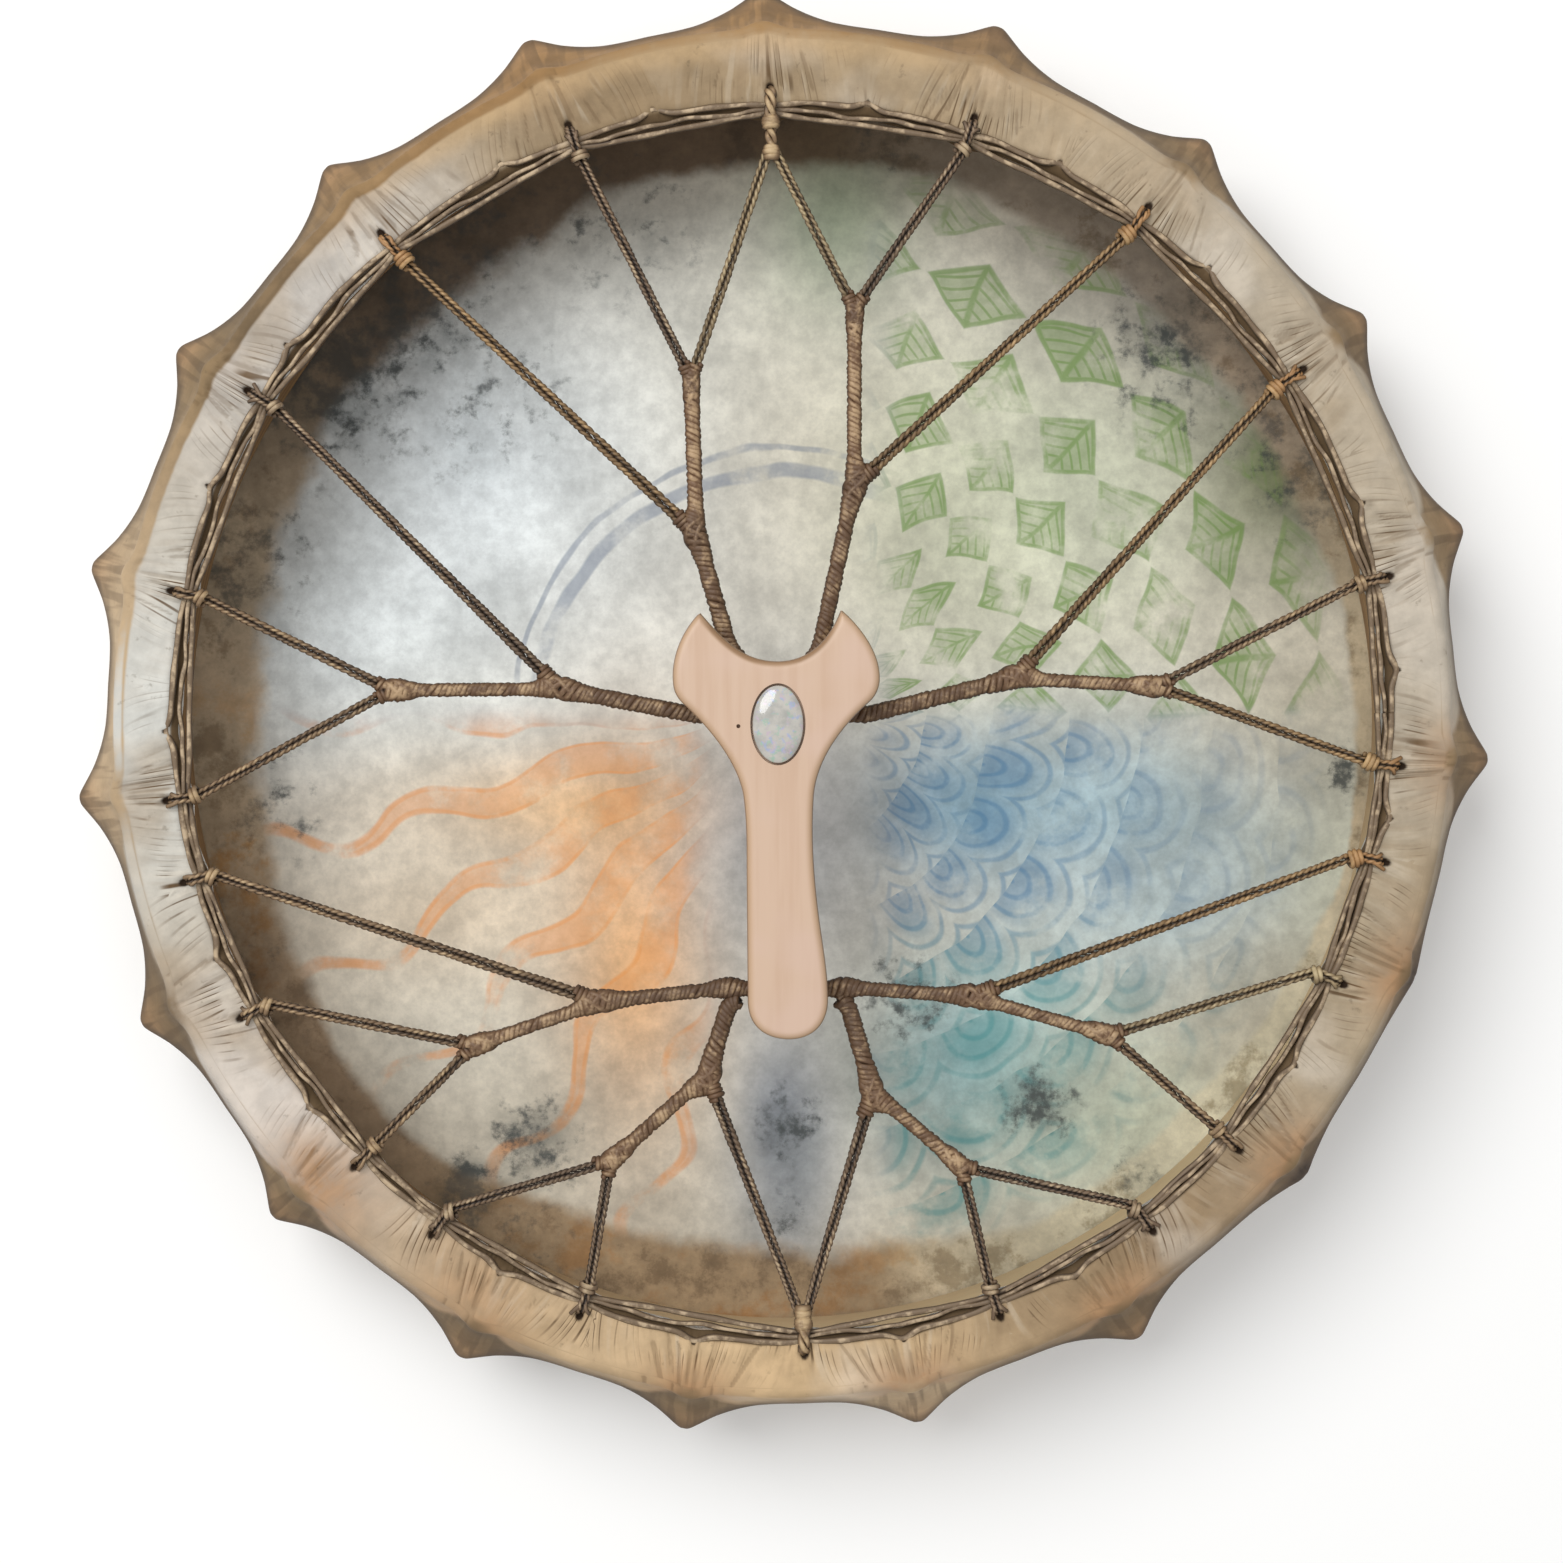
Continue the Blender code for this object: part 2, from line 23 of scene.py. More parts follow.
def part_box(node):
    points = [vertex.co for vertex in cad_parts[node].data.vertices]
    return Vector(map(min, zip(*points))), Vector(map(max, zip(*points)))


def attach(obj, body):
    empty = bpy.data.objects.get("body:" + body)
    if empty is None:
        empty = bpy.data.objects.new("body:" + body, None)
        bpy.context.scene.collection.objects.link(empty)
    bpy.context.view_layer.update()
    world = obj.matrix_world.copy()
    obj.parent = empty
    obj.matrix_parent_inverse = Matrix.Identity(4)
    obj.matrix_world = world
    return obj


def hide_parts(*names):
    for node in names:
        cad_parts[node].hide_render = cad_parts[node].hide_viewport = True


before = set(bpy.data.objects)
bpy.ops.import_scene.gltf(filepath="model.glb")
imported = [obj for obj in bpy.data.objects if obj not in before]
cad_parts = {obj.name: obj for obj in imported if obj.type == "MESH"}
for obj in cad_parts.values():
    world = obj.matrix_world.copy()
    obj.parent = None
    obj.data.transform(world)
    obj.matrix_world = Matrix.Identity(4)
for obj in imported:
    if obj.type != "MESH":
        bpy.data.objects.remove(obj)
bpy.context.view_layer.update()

MM = 0.001
print("nodes in the frame:", len(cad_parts))

# %% [markdown]
# ## Reading sizes off the frame
#
# A node's box gives its lowest and highest corners. The first peg tells how high the skin's points
# stand, and the handle's and the stone's boxes tell how the grip is laid on the lacing.

# %% Sizes read off the model
drum_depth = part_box("hide")[1].z
handle_low, handle_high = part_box("handle")
stone_low, stone_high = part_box("stone")
ring_low, ring_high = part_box("rim_lacing")
hoop_low, hoop_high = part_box("hoop")
peg_count = sum(name.startswith("peg_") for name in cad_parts)
peg_height = sum(corner.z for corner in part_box("peg_01")) / 2
ring_height = (ring_low.z + ring_high.z) / 2
print(f"drum {drum_depth / MM:.1f} mm deep, with {peg_count} pegs at {peg_height / MM:.0f} mm")
print(f"rim lacing at {ring_height / MM:.0f} mm")

# %% [markdown]
# ## The hand-made form
#
# A hoop bent by hand is never a true circle. This one is a little longer than it is wide and is drawn
# up at the fork end. Its lacing is centred a little nearer the fork, and hangs slack beside the stem.
# Each of these is one smooth function of the angle. The functions work on whole arrays of angles at
# once, which keeps dense meshes quick.

# %% The egg-shaped hoop and the slack lacing
shell_radius = 248.3 * MM
hoop_stretch = 0.012
crown_rise = 0.024
crown_half_angle = math.radians(56)
lacing_shift = 3.0 * MM  # the lacing's centre lies this far towards the fork end
lace_ring = 224.5 * MM
slack_rise = 0.034
slack_angle = math.radians(280)
slack_half_angle = math.radians(60)


def angle_gap(angle, other):
    """The signed gap between two angles, at most half a turn."""
    return (np.asarray(angle) - other + np.pi) % math.tau - np.pi


def swell(angle, centre, half_angle):
    """1 at the swelling's centre, falling smoothly to 0 at half_angle on either side."""
    return np.clip(1.0 - (angle_gap(angle, centre) / half_angle) ** 2, 0.0, None) ** 1.5


def swell_deg(angle, centre_deg, half_deg):
    """The same swelling, with its centre and its half angle in degrees."""
    return swell(angle, math.radians(centre_deg), math.radians(half_deg))


def egg(angle):
    """Radius factor of the hoop."""
    crown = crown_rise * swell(angle, math.pi / 2, crown_half_angle)
    return 1.0 + hoop_stretch * np.sin(angle) ** 2 + crown


def ring_radius(angle):
    """Radius of the rim lacing's middle line about its own centre."""
    return lace_ring * (1.0 + slack_rise * swell(angle, slack_angle, slack_half_angle))


print(f"the hoop reaches {egg(math.pi / 2) * shell_radius / MM:.1f} mm at the fork end")
print(f"the slack lacing reaches {ring_radius(slack_angle) / MM:.1f} mm")

# %% [markdown]
# ## Camera, floor and light
#
# The drum lies on its head, so the camera looks straight down at the lacing. The lens is shifted a
# little, which leaves room under the drum. One large soft lamp at the upper left gives the cords their
# shadows, and a pale sky fills the rest.

# %% Camera
picture_width = 578 * MM
picture_middle = Vector((-0.2 * MM, -22.3 * MM))
camera_height = 900 * MM


def put_in_scene(name, data):
    """An object for a mesh, a lamp or a camera, linked to the scene."""
    obj = bpy.data.objects.new(name, data)
    bpy.context.scene.collection.objects.link(obj)
    return obj


camera_data = bpy.data.cameras.new("camera")
camera_data.sensor_width = 36.0
camera_data.lens = camera_data.sensor_width * camera_height / picture_width
camera_data.shift_x = picture_middle.x / picture_width
camera_data.shift_y = (picture_middle.y - lacing_shift) / picture_width
camera = put_in_scene("camera", camera_data)
camera.location = (0.0, lacing_shift, drum_depth + camera_height)
bpy.context.scene.camera = camera
print(f"lens {camera_data.lens:.1f} mm, shift {camera_data.shift_x:.3f}, {camera_data.shift_y:.3f}")

# %% Helpers for finishes and pieces
def tint(red, green, blue):
    """A colour as a painter names it, from 0 to 255, turned into the linear values that shaders use."""
    linear = []
    for value in (red, green, blue):
        share = value / 255
        linear.append(share / 12.92 if share <= 0.04045 else ((share + 0.055) / 1.055) ** 2.4)
    return (*linear, 1.0)


def add_node(tree, kind, inputs=None, **settings):
    """A node with its settings. Each input, by name or number, is linked to a socket or set."""
    node = tree.nodes.new(kind)
    for name, value in settings.items():
        setattr(node, name, value)
    for name, value in (inputs or {}).items():
        if isinstance(value, bpy.types.NodeSocket):
            tree.links.new(value, node.inputs[name])
        else:
            node.inputs[name].default_value = value
    return node


def new_finish(name, roughness):
    """A material, its node tree and its shader."""
    finish = bpy.data.materials.new(name)
    finish.use_nodes = True
    shader = finish.node_tree.nodes["Principled BSDF"]
    shader.inputs["Roughness"].default_value = roughness
    return finish, finish.node_tree, shader


def mesh_of(bm, name):
    """Turns a bmesh into a mesh and frees it."""
    mesh = bpy.data.meshes.new(name)
    bm.to_mesh(mesh)
    bm.free()
    return mesh


def place_piece(name, mesh, finishes, slot, *nodes):
    """Puts a finished mesh in the scene in the place of the model's nodes."""
    obj = put_in_scene(name, mesh)
    for finish in finishes:
        mesh.materials.append(finish)
    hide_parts(*nodes)
    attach(obj, "root")


print("helpers for finishes and pieces are ready")

# %% Floor and light
floor_half_width = 4.0  # in metres, as are the lamp's width and place
floor_gap = 0.3 * MM  # between the floor and the drum's head
lamp_width = 1.3
lamp_watts = 26
lamp_place = Vector((-0.75, 0.85, 1.75))
sky_strength = 0.74

bm = bmesh.new()
bmesh.ops.create_grid(bm, x_segments=1, y_segments=1, size=floor_half_width)
bmesh.ops.translate(bm, verts=bm.verts, vec=(0, 0, -floor_gap))
floor = put_in_scene("floor", mesh_of(bm, "floor"))
floor_finish, _, floor_shader = new_finish("pale_floor", 0.9)
floor_shader.inputs["Base Color"].default_value = tint(248, 248, 247)
floor.data.materials.append(floor_finish)

key_data = bpy.data.lights.new("key", "AREA")
key_data.shape = "DISK"
key_data.size = lamp_width
key_data.energy = lamp_watts
key = put_in_scene("key", key_data)
key.location = lamp_place
key.rotation_euler = (-lamp_place).to_track_quat("-Z", "Y").to_euler()

world = bpy.data.worlds.new("pale_sky")
world.use_nodes = True
sky = world.node_tree.nodes["Background"]
sky.inputs["Color"].default_value = (1.0, 1.0, 1.0, 1.0)
sky.inputs["Strength"].default_value = sky_strength
bpy.context.scene.world = world
bpy.context.scene.view_settings.view_transform = "Standard"
print("camera, floor, lamp and sky are ready")

# %% [markdown]
# ## The plan of the pegs and of the lacing
#
# The skin rises from the shell radius to a point over each peg and falls to the two folds. Eight
# bundles carry the handle. Each gathers three laces: two meet at a first joint, the third comes in at
# a second, and then the bundle runs on under the wood. The table repeats the model's own plan, in
# millimetres about the lacing's centre.

# %% The tents over the pegs
peg_start = math.radians(91.6)
peg_rise = 23.8 * MM
span_rise = 10.1 * MM
short_pegs = {7: 14.0 * MM, 8: 17.2 * MM}
tip_rises = np.array([short_pegs.get(number + 1, peg_rise) for number in range(peg_count)])
head_fold = 5 * MM
back_fold = 4 * MM
ridge_rounding = 0.06  # roundness of a tent's ridge at its tip
ridge_power = 2.7  # how steeply the ridge falls away on both sides of the tip
rise_rounding = 0.14  # roundness of the wall's slope over a peg
rise_rounding_between = 0.45  # what is added to it midway between two pegs


def peg_angle(place):
    """Polar angle of peg number place, or of a point between two pegs."""
    return peg_start - math.tau * np.asarray(place) / peg_count


def rounded_fall(distance, rounding):
    """1 at distance 0, falling to 0 at distance 1 along a hyperbola with a round top."""
    top = np.hypot(1.0, rounding) - rounding
    return np.clip(1.0 - (np.hypot(distance, rounding) - rounding) / top, 0, None)


def side_rise(place, height):
    """How far the side wall stands beyond the shell radius, round the drum and up it."""
    away = np.minimum(1.0, np.abs(place - np.round(place)) * 2)
    tip = tip_rises[np.round(place).astype(int) % peg_count] - span_rise
    ridge = span_rise + tip * rounded_fall(away, ridge_rounding) ** ridge_power
    reach = np.where(height > peg_height, drum_depth - back_fold - peg_height, peg_height - head_fold)
    up = np.minimum(1.0, np.abs(height - peg_height) / reach)
    return ridge * rounded_fall(up, rise_rounding + rise_rounding_between * away)


print("first pegs at", [round(math.degrees(float(peg_angle(n)))) for n in range(4)], "degrees")

# %% Bundles, anchors and small holes
# rim angles of the first two laces, first joint, rim angle of the third, second joint, and the run
BUNDLES = [
    ((91.1, 110.0), (-34, 125), 129.9, (-32, 67), [(-20, 25)]),
    ((91.1, 72.1), (27, 151), 54.1, (27, 85), [(14, 24)]),
    ((12.7, 355.1), (140, 10), 33.4, (87, 13), [(30, -1)]),
    ((168.7, 188.1), (-146, 8.5), 148.9, (-83, 9), [(-31, -1)]),
    ((334.2, 316.3), (122, -120), 346.1, (71, -106), [(24, -102.5)]),
    ((209.4, 226.7), (-115, -124), 195.8, (-68, -108), [(-19, -102.5)]),
    ((305.6, 289.9), (67, -169), 272.0, (34, -141), [(24.2, -107.6)]),
    ((236.1, 251.4), (-64, -167), 272.0, (-28, -135), [(-19.5, -107.9)]),
]
HEAD_KNOT = (-2, 3)
STEM_KNOT = (2, -104.5)
# Two laces leave one loop at each of these angles; the loop's name and length follow.
SHARED_LOOPS = {91.1: ("loop_fork_end", 11.0 * MM), 272.0: ("loop_stem_end", 4.0 * MM)}
# Between most anchors the outer strand is also drawn through the lip at a small hole.
NOTCHES = [4.0, 19.9, 46.2, 63.2, 82.0, 102.1, 117.1, 143.4, 158.4, 181.7, 203.5, 219.8, 243.2, 262.0]
NOTCHES += [281.0, 297.5, 325.5, 350.2]

anchor_degrees = sorted({angle for pair, _, third, *_ in BUNDLES for angle in (*pair, third)})
anchors = np.radians(anchor_degrees)
notches = np.radians(NOTCHES)
print(len(anchors), "anchors and", len(notches), "small holes round the rim")


def nearest_gap(angle, others):
    """For each angle, the distance to the nearest of the others, in radians."""
    return np.min(np.abs(angle_gap(np.asarray(angle)[..., None], others)), axis=-1)


def bump(distance, width):
    """A soft hump: 1 at distance 0."""
    return np.exp(-((np.asarray(distance) / width) ** 2))

# %% [markdown]
# ## The skin
#
# Rawhide is stretched wet and dries hard. It folds round the hoop's edges, rises to the pegs, and
# puckers where the lacing pulls at its edge. The outer skin starts as a profile that is spun over one
# peg's share of the turn, and the wedge is then spun round the drum as copies. Its points are pushed
# out to the pegs and pressed into creases by functions of the angle. Spinning gives an even net of
# faces, and the functions keep the pull of the pegs and laces true to the plan. The inner skin is spun
# with fewer steps, as it is flat, and the two are bridged at the lip's edge.

# %% Spinning a profile
def spin_profile(points, steps):
    """Turns a line of (radius, height) points a full turn about the drum's axis, wedge by wedge."""
    bm = bmesh.new()
    verts = [bm.verts.new((radius, 0.0, height)) for radius, height in points]
    edges = [bm.edges.new(pair) for pair in zip(verts, verts[1:])]
    wedge = math.tau / peg_count
    axis = {"cent": (0, 0, 0), "axis": (0, 0, 1)}
    bmesh.ops.spin(bm, geom=verts + edges, angle=wedge, steps=steps // peg_count, **axis)
    geom = bm.verts[:] + bm.edges[:] + bm.faces[:]
    bmesh.ops.spin(bm, geom=geom, angle=math.tau - wedge, steps=peg_count - 1, use_duplicate=True, **axis)
    bmesh.ops.remove_doubles(bm, verts=bm.verts, dist=0.005 * MM)
    return bm


def arc(centre, radius, start_deg, end_deg, count):
    """Points of an arc in the (radius, height) plane."""
    angles = np.radians(np.linspace(start_deg, end_deg, count))
    return [(centre[0] + radius * math.cos(a), centre[1] + radius * math.sin(a)) for a in angles]


def coordinates(mesh):
    """The places of a mesh's points, in rows of three."""
    co = np.empty(len(mesh.vertices) * 3)
    mesh.vertices.foreach_get("co", co)
    return co.reshape(-1, 3)


def move_points(mesh, places):
    mesh.vertices.foreach_set("co", places.ravel())


def polar_points(radius, angle, height, middle_y=0.0):
    """Places from arrays of a radius, an angle and a height."""
    return np.stack([radius * np.cos(angle), radius * np.sin(angle) + middle_y, height], axis=1)


def store(mesh, values):
    """Keeps named numbers for each point, for the finishes to read; rows of three are places."""
    for name, numbers in values.items():
        rows = np.asarray(numbers, dtype=np.float32)
        kind, field = ("FLOAT", "value") if rows.ndim == 1 else ("FLOAT_VECTOR", "vector")
        attribute = mesh.attributes.new(name, kind, "POINT")
        attribute.data.foreach_set(field, rows.ravel())


def store_colour(mesh, name, colour):
    """Keeps a colour for each point."""
    attribute = mesh.attributes.new(name, "FLOAT_COLOR", "POINT")
    rows = np.concatenate([colour, np.ones((len(colour), 1))], axis=1)
    attribute.data.foreach_set("color", rows.astype(np.float32).ravel())


print("helpers for spinning and storing are ready")

# %% Creases of the lip and of the tents
lip_width = 23 * MM
lip_drop = 2.8 * MM
fan_beyond = 42 * MM  # the creases of one fan would meet this far beyond the fold
crease_random = random.Random(11)
CREASES_PER_PEG = 19
STRAY_CREASES = 60
RIDGES_PER_PEG = 5


def random_mm(low, high):
    return crease_random.uniform(low, high) * MM


def plan_creases():
    """Lip creases: place among the pegs, offset at the lip's edge, depth, width, reach and slant."""
    creases = []
    for number in range(peg_count):
        for _ in range(CREASES_PER_PEG):
            offset = crease_random.triangular(-27, 27, 0) * MM
            depth, width = random_mm(0.3, 0.75), random_mm(0.8, 1.1)
            start, length = random_mm(0, 8), random_mm(9, 25)
            creases.append((number, offset, depth, width, start, start + length, 0.0))
    for _ in range(STRAY_CREASES):
        place = crease_random.uniform(0, peg_count)
        depth, width, start = random_mm(0.15, 0.35), random_mm(0.8, 1.0), random_mm(2, 10)
        slant = crease_random.uniform(-0.35, 0.35)
        creases.append((place, 0.0, depth, width, start, start + random_mm(6, 14), slant))
    return creases


def plan_ridges():
    """Lines that run from a tent's tip over the fold: peg, offset at the fold, depth and width."""
    return [
        (number, random_mm(-9, 9), random_mm(0.2, 0.6), random_mm(0.8, 1.2))
        for number in range(peg_count)
        for _ in range(RIDGES_PER_PEG)
    ]


creases = plan_creases()
ridges = plan_ridges()
print(len(creases), "creases pressed into the lip,", len(ridges), "lines on the tents")

# %% The outer skin's profile
outer_steps = peg_count * 90
TUCKED_EDGE = [(1.4, 1.0), (3.4, 2.3), (4.9, 2.8)]  # inwards and down from the lip, in millimetres


def outer_profile():
    head = [(r * MM, 0.0) for r in (0, 120, 225)]
    fold = arc((shell_radius - head_fold, head_fold), head_fold, -90, 0, 4)
    side = [(shell_radius, z * MM) for z in (12, 20, 29, 37, 43, 46, 48, 50, 54, 60, 67, 74)]
    back = arc((shell_radius - back_fold, drum_depth - back_fold), back_fold, 0, 80, 5)
    lip_in = shell_radius - lip_width
    lip = [
        (back[-1][0] + (lip_in - back[-1][0]) * t, drum_depth - lip_drop * t)
        for t in np.linspace(0.05, 1.0, 15)
    ]
    # the edge runs on under the lacing's strands, which sink into it
    edge = [(lip_in - reach * MM, drum_depth - lip_drop - drop * MM) for reach, drop in TUCKED_EDGE]
    return head + fold + side + back + lip + edge


print("the outer skin's profile has", len(outer_profile()), "points")

# %% Holes, creases and ridges
lip_beyond = 3.4 * MM  # from the lacing's middle line to the lip's edge, between the holes
lip_pull = 1.6 * MM  # how far an anchor pulls the edge in
lip_give = 1.0 * MM  # how far the edge stands back at a small hole
lip_crease_reach = math.radians(9)  # no crease of a peg lies farther from it than this
ridge_reach = math.radians(6)


def about_lacing(angle):
    """The angle about the lacing's centre of a place on the lip, from its angle about the hoop's."""
    return angle - lacing_shift * np.cos(angle) / lace_ring


def lip_edge_radius(angle):
    """Radius of the lip's edge about the hoop's middle: it bows outwards between the anchors."""
    lacing_angle = about_lacing(angle)
    pulled = bump(nearest_gap(lacing_angle, anchors), math.radians(2.2))
    notched = bump(nearest_gap(lacing_angle, notches), math.radians(1.6))
    edge = ring_radius(lacing_angle) + lip_beyond - lip_pull * pulled + lip_give * notched
    return edge + lacing_shift * np.sin(angle)


def eyelet_reach(angle):
    """How far an eyelet lies beyond the lacing's middle line, in millimetres."""
    return 5.6 + 1.6 * swell_deg(angle, 95, 100)


def press_holes(x, y, height):
    """Dents the lip at each eyelet and small hole; returns how dark each point lies in one, as painted
    shade for the opening.
    """
    angle = np.arctan2(y - lacing_shift, x)
    beyond = np.hypot(x, y - lacing_shift) - ring_radius(angle)
    hole = np.zeros(len(x))
    # where they are, how far beyond the lacing, half width and length, the raised rim and the dip
    kinds = [(anchors, eyelet_reach(angle), (1.4, 2.2), 0.7, 1.3), (notches, 4.6, (0.9, 1.0), 0.5, 1.0)]
    for centres, out, (half_width, half_length), rim, dip in kinds:
        gap = angle_gap(angle[:, None], centres)
        gap = gap[np.arange(len(x)), np.argmin(np.abs(gap), axis=1)]
        sideways = gap * lace_ring / (half_width * MM)
        far = np.hypot(sideways, (beyond - out * MM) / (half_length * MM))
        hole = np.maximum(hole, np.clip(1.7 - far, 0, 1))
        height += rim * MM * bump(far - 2.0, 0.75) - dip * MM * np.exp(-(far ** 4))
    return hole


def press_creases(angle, radius, beyond, spread, height):
    """Presses the planned creases into the lip; returns their depth at each point."""
    depth = np.zeros(len(angle))
    for number, edge_offset, deep, width, start, end, slant in creases:
        centre = float(peg_angle(number))
        near = np.nonzero(np.abs(angle_gap(angle, centre)) < lip_crease_reach)[0]
        out = beyond[near]
        sideways = angle_gap(angle[near], centre) * radius[near]
        line = edge_offset / spread[near] + slant * (out - start)
        ends = np.clip((out - start) / (2 * MM), 0, 1) * np.clip((end - out) / (5 * MM), 0, 1)
        depth[near] = np.maximum(depth[near], bump(sideways - line, width) * deep * ends)
    height -= depth
    return depth


def press_ridges(angle, radius, height, up):
    """Lines from a tent's tip: they fan out to the fold and fade on the lip."""
    depth = np.zeros(len(angle))
    for number, offset, deep, width in ridges:
        centre = float(peg_angle(number))
        near = np.nonzero(np.abs(angle_gap(angle, centre)) < ridge_reach)[0]
        sideways = angle_gap(angle[near], centre) * radius[near]
        line = offset * np.clip(up[near], 0, 1.6)
        ends = np.clip(up[near] / 0.15, 0, 1) * np.clip((1.7 - up[near]) / 0.7, 0, 1)
        depth[near] = np.maximum(depth[near], bump(sideways - line, width) * deep * ends)
    return depth


print("helpers for pressing the lip are ready")

# %% Colours of the lip
LIP_GROUND = tint(178, 168, 152)
# middle angle and half angle in degrees, and colour
LIP_TINTS = [
    (90, 42, tint(158, 138, 110)),
    (105, 12, tint(142, 122, 95)),
    (60, 12, tint(172, 153, 126)),
    (140, 16, tint(186, 180, 172)),
    (180, 16, tint(200, 199, 192)),
    (220, 15, tint(206, 197, 187)),
    (243, 16, tint(170, 150, 126)),
    (274, 34, tint(196, 168, 130)),
    (308, 22, tint(142, 120, 92)),
    (336, 20, tint(164, 148, 124)),
    (30, 26, tint(173, 160, 140)),
]


def plain_colour(shade, count):
    """A row of one colour for each point."""
    return np.tile(np.array(shade[:3]), (count, 1))


def tinted(colour, shade, share):
    """Rows of colours moved towards one colour, by a share for each row."""
    share = share[:, None]
    return colour * (1 - share) + np.array(shade[:3]) * share


def lip_colour(angle):
    """The lip's colour round the drum: it is darkened with soot at the fork end and paler at the left."""
    colour = plain_colour(LIP_GROUND, len(angle))
    for middle, half, shade in LIP_TINTS:
        colour = tinted(colour, shade, swell_deg(angle, middle, half * 1.5))
    return colour


print(len(LIP_TINTS), "tints round the lip")

# %% Stains, wear and a painted outline shade outside
outline_view_height = 900 * MM  # the greater it is, the nearer the painted outline shade lies to the very widest place


def widest_outline_shade(placed, height, step):
    """Painted shade along a line just over the place where the wall is widest, as seen from above."""
    leaning = placed * outline_view_height / (outline_view_height + drum_depth - height)
    column = np.round(step / peg_count * outer_steps).astype(int) % outer_steps
    widest = np.zeros(outer_steps)
    np.maximum.at(widest, column, leaning)
    return bump(widest[column] - leaning, 1.5 * MM)


def lip_stains(angle, away, along):
    """Brown stains on the lip beside the pegs, and where a hand has held it."""
    browned = np.clip(0.12 + 2.0 * swell_deg(angle, 300, 75), 0, 1)
    stain = bump(away, 0.4) * np.clip(1 - along * 1.3, 0, 1) * browned
    handled = swell_deg(angle, 230, 22) * np.clip(1.4 - along, 0, 1)
    return np.maximum(stain, handled * bump(away, 0.6))


print("helpers for stains are ready")

